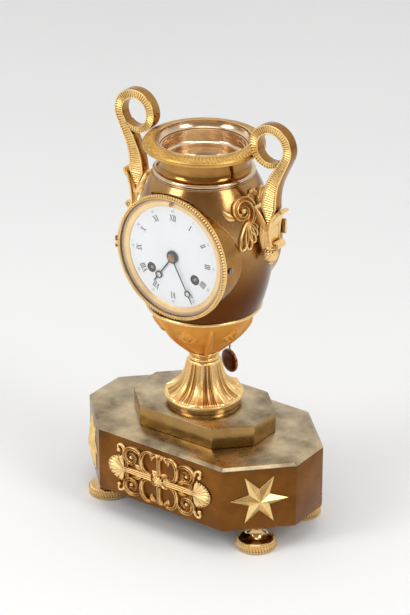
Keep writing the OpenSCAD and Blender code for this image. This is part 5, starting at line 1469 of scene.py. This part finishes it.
@dataclass
class SideMounts:
    """Volute and palmette castings on the body, beside each cup."""

    urn: Urn
    direction: float = 18.0
    height: float = 227.25
    relief: float = 2.2
    squeeze: float = 0.96
    lift: float = 0.1
    fan: tuple[float, float] = (1.8, -4.6)

    def seat(self, base: float, sign: int) -> Place:
        """Wraps (along, up, out) on the body: along turns round it and out follows its normal.

        Args:
            base: direction of the casting's middle in degrees.
            sign: which way along turns.

        Returns:
            The function that places points.
        """
        def place(grid: np.ndarray) -> np.ndarray:
            """Wraps one grid of points.

            Args:
                grid: points as (along, up, out).

            Returns:
                The points on the body.
            """
            along, up, out = np.moveaxis(grid, -1, 0)
            z = self.height + up * self.squeeze
            r = self.urn.body_at(z)
            tilt = np.arctan(self.urn.body_at(z - 0.5) - self.urn.body_at(z + 0.5))
            far = r + (out + self.lift) * np.cos(tilt)
            flat = polar(far, math.radians(base) + sign * along / r)
            return np.concatenate([flat, (z + out * np.sin(tilt))[..., None]], -1)
        return place

    def casting(self) -> tuple[list[np.ndarray], list[np.ndarray]]:
        """One casting as (along, up, out), along towards the handle.

        Returns:
            Grids of the solid forms, and grids of the open loops.
        """
        t, grooved, round_ = self.relief, Section.GROOVED.points(), Section.ROUND.points()
        curl = spiral([0.5, 2.8], (10.2, 1.1), (-75, 515), 120, 0.85)
        width = np.interp(np.linspace(0, 1, 120), [0, 0.1, 0.35, 0.6, 1], [1.9, 3.2, 4.2, 3.0, 1.5])
        parts = [strip(curl, width, t * (0.5 + 0.2 * width), grooved),
                 ball([0.6, 2.9, 1.0], [1.8, 1.8, 1.9]),
                 ball([-1.8, 1.0, 0.6], [0.9, 0.9, 1.0]),
                 leaf([-6.4, -1.0], [-13.4, 5.4], 4.0, t * 1.2, 0.1),
                 leaf([4.8, 9.6], [9.6, 12.4], 3.4, t, -0.25),
                 ball([10.2, 12.6, 1.0], [1.3, 1.3, 1.4]),
                 leaf([1.6, -6.6], [8.2, -6.8], 2.6, t, 0.15),
                 ball([3.2, -8.0, 1.0], [1.6, 1.5, 1.5])]
        loops = []
        for lean, length, wide in ((-18, 18.6, 7.4), (-1, 18.0, 6.4), (16, 15.0, 5.8), (34, 12.2, 5.0),
                                   (52, 9.6, 4.2)):
            c, s = math.cos(math.radians(lean)), math.sin(math.radians(lean))
            path = teardrop(wide, length) @ np.array([[c, s], [-s, c]]) + self.fan
            loops.append(strip(path, 1.6, t * 0.95, round_, closed=True))
        return parts, loops

    def build(self) -> None:
        """Builds front and rear castings on both sides."""
        parts, loops = self.casting()
        for side, word in SIDES:
            piece = Piece(f"volutes_{word}")
            for front in (-1, 1):
                base = front * self.direction if side > 0 else 180 - front * self.direction
                place = self.seat(base, -front * side)
                for grid in parts:
                    piece.add(grid, place=place)
                for grid in loops:
                    piece.add(grid, loop_u=True, place=place)
            piece.make("gilt_brass", Finish.GILT_CASTING, f"side_mount_{word}", sharp=60)


# Clock


@dataclass
class ClockCase:
    """Drum, milled bezel, glass, sight ring and the rear cover."""

    z: float = 196.4
    radius: float = 42.0
    front: float = -34.8
    back: float = 28.0
    wall: float = 1.4
    flange_r: float = 37.5
    flange_t: float = 2.8
    sight_y: float = -32.6
    notch_z: float = 37.0
    bezel_back: float = -34.9
    bezel_r: float = 42.8
    beads: int = 136
    glass_r: float = 39.8
    dome_h: float = 4.2
    glass_foot: tuple[float, float, float] = (41.1, 2.14, 1.4)
    glass_t: float = 0.8
    knuckle: tuple[float, float] = (1.2, 2.4)
    knuckle_at: tuple[float, float] = (1.3, -3.7)
    hinge: tuple[float, float] = (-44.0, -35.5)
    rear_hinge: tuple[float, float] = (-40.8, 29.3)
    cover: tuple[float, float, float, float] = (37.9, 28.4, 5.6, 12.0)
    cover_wall: float = 0.8
    notch: tuple[float, float, float] = (7.1, 28.0, 4.8)
    catch: tuple[float, float, float, float] = (43.6, 29.2, 4.9, 14.8)

    def turned_front(self, line: np.ndarray, steps: int, y: float,
                     rise: np.ndarray | None = None) -> np.ndarray:
        """A surface of revolution about the dial's axis.

        Args:
            line: radius of each point and how far it stands out to the front.
            steps: how many times the line is repeated round the axis.
            y: what the line's second value is counted from.
            rise: relief along the line's outward normal.

        Returns:
            A grid of points, the angle first.
        """
        return facing(turned(line, steps, rise), y, 0, self.z)

    def build(self) -> None:
        """Builds the drum with its knuckles, and then the other pieces."""
        r, f, b, z, (size, long) = self.radius, -self.front, -self.back, self.z, self.knuckle
        line = rounded([[r - self.wall, f], [r, f], [r, b], [self.flange_r, b],
                        [self.flange_r, b + self.flange_t], [r - self.wall, b + self.flange_t]],
                       [0.3, 0.5, 0.4, 0.3, 0.2, 0.2], 4)
        drum = Piece("drum").add(self.turned_front(line, 320, 0), loop_u=True)
        (hx, hy), (rx, ry) = self.hinge, self.rear_hinge
        for low in self.knuckle_at:
            low, high = z + low, z + low + long
            drum.add(peg(size, low, high, hx, hy), loop_u=True)
            drum.add(slab([hx - 0.4, hy + 0.2, low], [self.wall - r, hy + 2.3, high]))
            drum.add(peg(size, low, high, rx, ry), loop_u=True)
            drum.add(slab([rx - 1.1, self.back - 0.6, low], [rx + 1.1, ry, high]))
        drum.make("polished_brass", Finish.BRASS_BROWNED, "drum_case")
        self.build_sight()
        self.build_bezel()
        self.build_glass()
        self.build_cover()

    def build_sight(self) -> None:
        """Builds the sloping sight ring, dented round the regulator's arbor at twelve."""
        line = refined([[34.5, 1.72], [34.5, 1.95], [34.75, 2.1], [35.0, 2.02], [35.3, 2.12],
                        [37.2, 2.7], [39.0, 3.25], [39.3, 3.38], [39.7, 3.36], [39.8, 3.1],
                        [40.4, 2.2], [40.45, 0.1], [35.8, 0.1], [35.75, 1.7]], 4, 10, (4, 5))
        steps = 900
        x, z = np.moveaxis(polar(line[:, 0], around(steps)[:, None]), -1, 0)
        top = (line[:, 1] > 1.7) & (line[:, 0] < 39.8)
        dent = -1.9 * np.clip((1.5 - np.hypot(x, z - self.notch_z)) / 0.35, 0, 1) * top
        Piece("sight_slope").add(self.turned_front(line, steps, self.sight_y, dent), loop_u=True).make(
            "gilt_brass", Finish.GILT_CASTING, "sight_ring")

    def build_bezel(self) -> None:
        """Builds the bezel, whose milling is a wave round its outer edge, and its knuckle."""
        r, z, (size, long) = self.bezel_r, self.z, self.knuckle
        line = refined([[41.2, 0.05], [r - 0.1, 0.05], [r - 0.1, 0.5], [r - 0.22, 0.9],
                        [r - 0.1, 1.2], [r - 0.12, 2.0], [r - 0.45, 2.55], [r - 1.1, 2.72],
                        [r - 1.75, 2.5], [40.75, 2.2], [40.6, 2.5], [40.3, 2.55], [40.2, 2.3],
                        [40.2, 2.24], [41.2, 2.24]], 3, 5, (4, 5, 6, 7))
        steps = self.beads * 8
        zone = (line[:, 1] > 1.15) & (line[:, 0] > r - 2.1)
        wave = np.sqrt(np.abs(np.sin(self.beads / 2 * around(steps)[:, None])))
        bezel = Piece("milled_bezel")
        bezel.add(self.turned_front(line, steps, self.bezel_back, (wave - 0.95) * zone), loop_u=True)
        hx, hy = self.hinge
        bezel.add(peg(size, z - long / 2, z + long / 2, hx, hy), loop_u=True)
        bezel.add(slab([hx, hy - 1.5, z - long / 2], [0.6 - r, hy - 0.5, z + long / 2]))
        bezel.make("gilt_brass", Finish.GILT_CASTING, "bezel", body="bezel", sharp=60)

    def build_glass(self) -> None:
        """Builds the glass, a shallow round dome with a flat foot."""
        r, h, (foot, top, low) = self.glass_r, self.dome_h, self.glass_foot
        x = np.linspace(0.02, r - 0.1, 40)
        dome = (r ** 2 + h ** 2) / (2 * h)
        outer = np.stack([x, top + np.sqrt(dome ** 2 - x ** 2) - dome + h], -1)
        line = np.concatenate([outer, [[foot, top], [foot, low], [r - 0.1, low]],
                               outer[::-1] - [0, self.glass_t]])
        Piece("domed_glass").add(self.turned_front(line, 160, self.bezel_back), loop_u=True).make(
            "glass", Finish.GLASS, "bezel_glass", body="bezel")

    def cover_point(self, u: np.ndarray, v: np.ndarray) -> np.ndarray:
        """Points of the rear cover: a straight wall, then a quarter ellipse up to the middle.

        Args:
            u: angles.
            v: 0 to 1 up the wall, 1 to 2 to the middle.

        Returns:
            The points.
        """
        r, y, deep, rise = self.cover
        a = np.clip((v - 1) * np.pi / 2, 0, np.pi / 2)
        far = np.maximum(r * np.cos(a), 1e-3)
        out = y + deep * np.clip(v, 0, 1) + rise * np.sin(a)
        return np.stack([far * np.cos(u), out, self.z + far * np.sin(u)], -1)

    def notch_edge(self, p: np.ndarray) -> np.ndarray:
        """Distance from the pendulum's notch in the cover's lower edge.

        Args:
            p: points of the cover.

        Returns:
            Distances, negative inside the notch.
        """
        half, y, deep = self.notch
        d = np.maximum(np.abs(p[..., 0]) - half, np.abs(p[..., 1] - y) - deep)
        return np.where(p[..., 2] < self.z, d, 9.0)

    def build_cover(self) -> None:
        """Builds the rear cover as a pierced dome with a wall, its knuckle and thumb catch."""
        (r, y), z, (size, long) = self.cover[:2], self.z, self.knuckle
        v = np.r_[np.linspace(0, 1, 12)[:-1], np.linspace(1, 2, 60)]
        Piece("cover_dome").gather(*pierced(self.cover_point, around(288), v, self.notch_edge),
                                   inside=[0, y, z]).make(
            "movement_brass", Finish.BRASS_POLISHED, "rear_cover", body="rear_cover",
            wall=self.cover_wall)
        rx, ry = self.rear_hinge
        x, catch_y, low, high = self.catch
        trim = Piece("cover_hinge_and_catch")
        trim.add(peg(size, z - long / 2, z + long / 2, rx, ry), loop_u=True)
        trim.add(slab([rx + 0.5, ry - 0.7, z - long / 2], [0.5 - r, ry + 0.5, z + long / 2]))
        trim.add(slab([r - 0.4, y, z + low], [x, catch_y + 0.8, z + high], 0.5))
        trim.add(peg(0.85, z + low, z + high, x, catch_y), loop_u=True)
        trim.make("movement_brass", Finish.BRASS_POLISHED, body="rear_cover")


@dataclass
class Dial:
    """Enamel dial's lettering: Roman hours, small Arabic minutes and fine dots."""

    z: float = 196.4
    face: float = -34.2
    hour_r: float = 25.1
    hour_h: float = 3.9
    minute_r: float = 31.0
    minute_h: float = 1.4
    minute_step: float = 1.15
    thick: float = 0.62
    thin: float = 0.27
    ink: float = 0.06
    dot_r: float = 0.16
    numerals: tuple[str, ...] = ("XII", "I", "II", "III", "IIII", "V", "VI", "VII", "VIII", "IX", "X",
                                 "XI")
    advance: dict[str, float] = field(default_factory=lambda: {"I": 1.18, "V": 2.55, "X": 2.6})
    digits: dict[str, list[list[float]]] = field(default_factory=lambda: {
        "0": [[0.5, 1], [0.1, 0.75], [0.1, 0.25], [0.5, 0], [0.9, 0.25], [0.9, 0.75], [0.5, 1]],
        "1": [[0.3, 0.8], [0.55, 1], [0.55, 0.5], [0.55, 0]],
        "2": [[0.12, 0.8], [0.5, 1], [0.86, 0.75], [0.4, 0.3], [0.1, 0.02], [0.9, 0.02]],
        "3": [[0.15, 0.88], [0.55, 1], [0.82, 0.76], [0.5, 0.54], [0.88, 0.25], [0.5, 0], [0.12, 0.12]],
        "4": [[0.68, 0], [0.68, 1], [0.1, 0.32], [0.92, 0.32]],
        "5": [[0.85, 1], [0.3, 1], [0.22, 0.56], [0.7, 0.6], [0.86, 0.28], [0.5, 0], [0.12, 0.1]],
        "6": [[0.78, 0.95], [0.3, 0.75], [0.12, 0.3], [0.5, 0], [0.86, 0.28], [0.5, 0.55], [0.15, 0.3]],
    })

    def place(self, angle: float, radius: float) -> Place:
        """Puts (across, up, out) on the dial, up away from the middle.

        Args:
            angle: clockwise from twelve.
            radius: distance of the frame's origin from the middle.

        Returns:
            The function that places points.
        """
        c, s = math.cos(angle), math.sin(angle)

        def put(grid: np.ndarray) -> np.ndarray:
            """Turns the flat frame clockwise from twelve."""
            x, up, out = grid[..., 0], grid[..., 1] + radius, grid[..., 2]
            return np.stack([x * c + up * s, self.face - 0.03 - out, self.z - x * s + up * c], -1)
        return put

    def stroke(self, a: Row, b: Row, width: float) -> np.ndarray:
        """A flat stroke between two points, its ends level, as a thin closed slab."""
        (x0, z0), (x1, z1), h = a, b, width / 2
        return prism(np.array([[x0 - h, z0], [x0 + h, z0], [x1 + h, z1], [x1 - h, z1]]), 0.0, self.ink)

    def serif(self, x: float, z: float, width: float) -> np.ndarray:
        """A thin bar across the end of a stroke.

        Args:
            x: its middle.
            z: height of its middle.
            width: its full width.

        Returns:
            A grid of points.
        """
        h, t = width / 2, self.thin * 0.45
        ring = np.array([[x - h, z - t], [x + h, z - t], [x + h, z + t], [x - h, z + t]])
        return prism(ring, 0.0, self.ink + 0.01)

    def numeral(self, word: str) -> list[np.ndarray]:
        """Strokes of one Roman numeral, centred on the origin, its feet at nought.

        Args:
            word: the numeral's letters.

        Returns:
            A grid of points for each stroke.
        """
        x, h, parts = -sum(self.advance[letter] for letter in word) / 2, self.hour_h, []
        for letter in word:
            w = self.advance[letter]
            m, reach = x + w / 2, 0.34 * w
            if letter == "I":
                parts.append(self.stroke([m, 0], [m, h], self.thick))
                ends = [(m, 0, w * 0.9), (m, h, w * 0.9)]
            elif letter == "V":
                parts += [self.stroke([m, 0], [m - reach, h], self.thick),
                          self.stroke([m, 0], [m + reach, h], self.thin)]
                ends = [(m - reach, h, 1.15), (m + reach, h, 0.8)]
            else:
                parts += [self.stroke([m + reach, 0], [m - reach, h], self.thick),
                          self.stroke([m - reach, 0], [m + reach, h], self.thin)]
                ends = [(m + s * reach, z, 1.0) for s in (-1, 1) for z in (0, h)]
            parts += [self.serif(*end) for end in ends]
            x += w
        return parts

    def build(self) -> None:
        """Builds all the lettering as one piece of slightly raised ink."""
        ink = Piece("dial_numerals")
        flat = np.array([[-1, 0], [-1, 1], [1, 1], [1, 0]], float)
        for hour, word in enumerate(self.numerals):
            angle = TURN * hour / 12
            for grid in self.numeral(word):
                ink.add(grid, place=self.place(angle, self.hour_r))
            text = str(5 * hour or 60)
            for k, digit in enumerate(text):
                line = scaled(self.digits[digit], (1.0, self.minute_h),
                              ((k - len(text) / 2) * self.minute_step, 0))
                path = line if digit in "14" else smooth_line(line, 18)
                ink.add(strip(path, 0.15, 0.05, flat), place=self.place(angle, self.minute_r))
        dot = prism(polar(self.dot_r, around(8)), 0.0, self.ink)
        for minute in range(60):
            if minute % 5:
                ink.add(dot, place=self.place(TURN * minute / 60, self.minute_r + self.minute_h / 2))
        ink.make("enamel", Finish.INK)


@dataclass
class Works:
    """What hangs and stands behind: bob and bell."""

    pendulum_y: float = 29.6
    bob_z: float = 95.7
    bob_r: float = 8.35
    bob_t: float = 4.6
    bob_turn: float = -17.0
    rim_r: float = 0.55
    bell: tuple[float, float, float] = (-5.0, 31.6, 193.4)
    bell_r: float = 22.0
    bell_deep: float = 10.0
    bell_wall: float = 0.9

    def hang(self, grid: np.ndarray) -> np.ndarray:
        """Puts a disc on the rod, turned a little about it.

        Args:
            grid: points of a disc that lies flat.

        Returns:
            The points as they hang.
        """
        c, s = math.cos(math.radians(self.bob_turn)), math.sin(math.radians(self.bob_turn))
        x, z, out = np.moveaxis(grid, -1, 0)
        return np.stack([x * c + out * s, self.pendulum_y + x * s - out * c, z + self.bob_z], -1)

    def build(self) -> None:
        """Builds the bob with its bright rim, and the bell as a turned cup with a rounded lip."""
        shares = [[0.01, -0.5], [0.4, -0.475], [0.72, -0.37], [0.9, -0.2], [0.93, -0.13]]
        half = smooth_line(scaled(shares, (self.bob_r, self.bob_t)), 20)
        Piece("bob_lens").spin(np.concatenate([half, half[::-1] * [1, -1]]), 96, None,
                               self.hang).make(
            "dark_bronze", Finish.BRONZE_DARK, "pendulum_bob", body="pendulum")
        ring = scaled(polar(1.0, around(16)), (self.rim_r, 0.85), (self.bob_r - self.rim_r, 0))
        Piece("bob_rim").spin(ring, 96, None, self.hang).make(
            "dark_bronze", Finish.BRASS_BROWNED, body="pendulum")
        r, deep, wall = self.bell_r, self.bell_deep, self.bell_wall
        shares = [[0.04, 1.0], [0.3, 0.985], [0.45, 0.95], [0.7, 0.82], [0.86, 0.62], [0.95, 0.36],
                  [0.985, 0.12], [1.0, 0.03]]
        outer = smooth_line(scaled(shares, (r, deep)), 60)
        inner = scaled(shares[::-1], (r, deep - wall), (-wall, 0))
        inner = smooth_line(np.maximum(inner, [0.86, 0]), 60)
        cup = turned(np.concatenate([outer, [[r - wall / 2, -0.02]], inner]))
        Piece("bell_cup").add(across(cup, *self.bell), loop_u=True).make(
            "movement_brass", Finish.BRASS_WORKS, "bell")


@dataclass
class Studio:
    """Floor, lights and camera."""

    camera_at: tuple[float, float, float] = (889.0, -1245.4, 891.2)
    camera_way: tuple[float, float] = (35.5, 25.94)
    lens_mm: float = 151.65
    sensor_mm: float = 36.0
    middle_m: float = 0.15
    floor_m: float = 6.0
    room_way: tuple[float, float, float] = (0.56, -0.79, -0.25)

    def build(self) -> None:
        """Builds the stage."""
        self.floor()
        self.world()
        self.light("softbox_left", (-27, 33), 1.6, (0.6, 0.9), 8.2)
        self.light("softbox_right", (85, 35), 1.6, (0.5, 0.9), 6.8)
        self.light("softbox_top", (20, 80), 1.8, (1.2, 1.2), 7.0)
        self.camera()

    def floor(self) -> None:
        """A wide plain floor of matt pale paper with faint cloudy tone."""
        material, tree, place = blank("pale_paper_floor")
        cloud = node(tree, "TexNoise", {"Vector": place, "Scale": 3.0})
        tone = node(tree, "Mix", {0: cloud, 6: linear("#f4f4f3"), 7: linear("#f9f9f8")},
                    data_type="RGBA")
        shader = node(tree, "BsdfPrincipled", {"Base Color": tone, "Roughness": 0.7,
                      "Specular IOR Level": 0.2})
        node(tree, "OutputMaterial", {"Surface": shader})
        mesh, e = bpy.data.meshes.new("floor"), self.floor_m
        mesh.from_pydata([(-e, -e, 0), (e, -e, 0), (e, e, 0), (-e, e, 0)], [], [(0, 1, 2, 3)])
        mesh.materials.append(material)
        made = bpy.data.objects.new("floor", mesh)
        bpy.context.scene.collection.objects.link(made)

    def world(self) -> None:
        """The room: pale to the eye, soft as light, and dim brown on one side in reflections."""
        world = bpy.data.worlds.new("pale_room")
        world.use_nodes = True
        tree = world.node_tree
        tree.nodes.clear()
        way = node(tree, "TexCoord").outputs["Generated"]
        side = node(tree, "VectorMath", {0: way, 1: self.room_way}, operation="DOT_PRODUCT")
        near = node(tree, "MapRange", {"Value": side, "From Min": -0.35, "From Max": 0.55})
        room = node(tree, "Mix", {0: near, 6: linear("#efeeec"), 7: linear("#a19280")},
                    data_type="RGBA")
        kind = node(tree, "LightPath").outputs
        plain = node(tree, "Background", {"Color": linear("#ececeb"), "Strength": 1.0})
        shiny = node(tree, "Background", {"Color": room, "Strength": 1.0})
        soft = node(tree, "Background", {"Color": linear("#f3f3f4"), "Strength": 0.66})
        seen = node(tree, "Math", {0: kind["Is Camera Ray"], 1: kind["Is Transmission Ray"]},
                    operation="MAXIMUM")
        lit = node(tree, "MixShader", {0: kind["Is Glossy Ray"], 1: soft, 2: shiny})
        mixed = node(tree, "MixShader", {0: seen, 1: lit, 2: plain})
        node(tree, "OutputWorld", {"Surface": mixed})
        bpy.context.scene.world = world

    def stand(self, name: str, data: bpy.types.ID, way: tuple[float, float],
              spot: np.ndarray | None = None, far: float = 0.0) -> bpy.types.Object:
        """Stands a lamp or camera so that it looks back along its way.

        Args:
            name: the object's name.
            data: the lamp or camera.
            way: degrees from -Y towards +X, and degrees over the floor.
            spot: where it stands, or nothing for a distance from the clock's middle.
            far: that distance in metres.

        Returns:
            The new object.
        """
        made = bpy.data.objects.new(name, data)
        a, b = np.radians(way)
        back = np.array([math.sin(a) * math.cos(b), -math.cos(a) * math.cos(b), math.sin(b)])
        right = np.array([math.cos(a), math.sin(a), 0])
        matrix = np.eye(4)
        spot = np.array([0, 0, self.middle_m]) + far * back if spot is None else spot
        matrix[:3] = np.stack([right, np.cross(back, right), back, spot], -1)
        made.matrix_world = Matrix(matrix.tolist())
        bpy.context.scene.collection.objects.link(made)
        return made

    def light(self, name: str, way: tuple[float, float], far: float, size: tuple[float, float],
              power: float) -> None:
        """Adds a softbox that looks at the clock's middle.

        Args:
            name: the lamp's name.
            way: degrees from -Y towards +X, and degrees over the floor.
            far: distance in metres.
            size: width and height in metres.
            power: watts.
        """
        lamp = bpy.data.lights.new(name, "AREA")
        lamp.shape, lamp.size, lamp.size_y, lamp.energy = "RECTANGLE", *size, power
        self.stand(name, lamp, way, far=far)

    def camera(self) -> None:
        """Adds the photograph's camera, which the scene uses."""
        lens = bpy.data.cameras.new("photo_camera")
        lens.lens, lens.sensor_width, lens.sensor_fit = self.lens_mm, self.sensor_mm, "AUTO"
        lens.clip_end = 30
        spot = np.array(self.camera_at) * MM
        bpy.context.scene.camera = self.stand("photo_camera", lens, self.camera_way, spot)


# The CAD nodes that stay in sight or inside, by the finish that they wear.
CAD_FINISHES: dict[Finish, tuple[str, ...]] = {
    Finish.STEEL: ("foot_nuts", "tie_rod", "tie_nuts", "case_screws", "hinge_pins", "going_arbor",
                   "strike_arbor", "regulator_arbor", "cannon_pinion", "anchor", "pendulum_rod"),
    Finish.BRASS_WORKS: ("front_plate", "back_plate", "pillars", "minute_wheel", "hour_wheel",
                         "going_barrel", "strike_barrel", "second_wheel", "centre_wheel",
                         "third_wheel", "escape_wheel", "suspension_cock", "dial_carrier", "hammer"),
    Finish.STEEL_BLUED: ("hour_hand", "minute_hand"),
    Finish.BRASS_BROWNED: ("hand_collet",),
    Finish.BRONZE_DARK: ("winding_eyelets",),
    Finish.ENAMEL: ("dial",),
}


def dress_cad_nodes() -> None:
    """Gives each CAD node that stays its real finish."""
    for finish, names in CAD_FINISHES.items():
        for name in names:
            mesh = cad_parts[name].data
            mesh.materials.clear()
            mesh.materials.append(finish.material())
            LOG.info("%s: %s", name, finish.value.name)


def main() -> None:
    """Builds the clock class by class, dresses the CAD nodes and sets the stage."""
    logging.basicConfig(level=logging.INFO, format="%(name)s: %(message)s")
    bpy.context.scene.view_settings.view_transform = "Standard"
    urn = Urn()
    for part in (Studio(), Plinth(), Feet(), Stars(), ScrollMount(), Pedestal(), urn, Handles(),
                 SideMounts(urn), ClockCase(), Dial(), Works()):
        part.build()
    dress_cad_nodes()


if __name__ == "__main__":
    main()
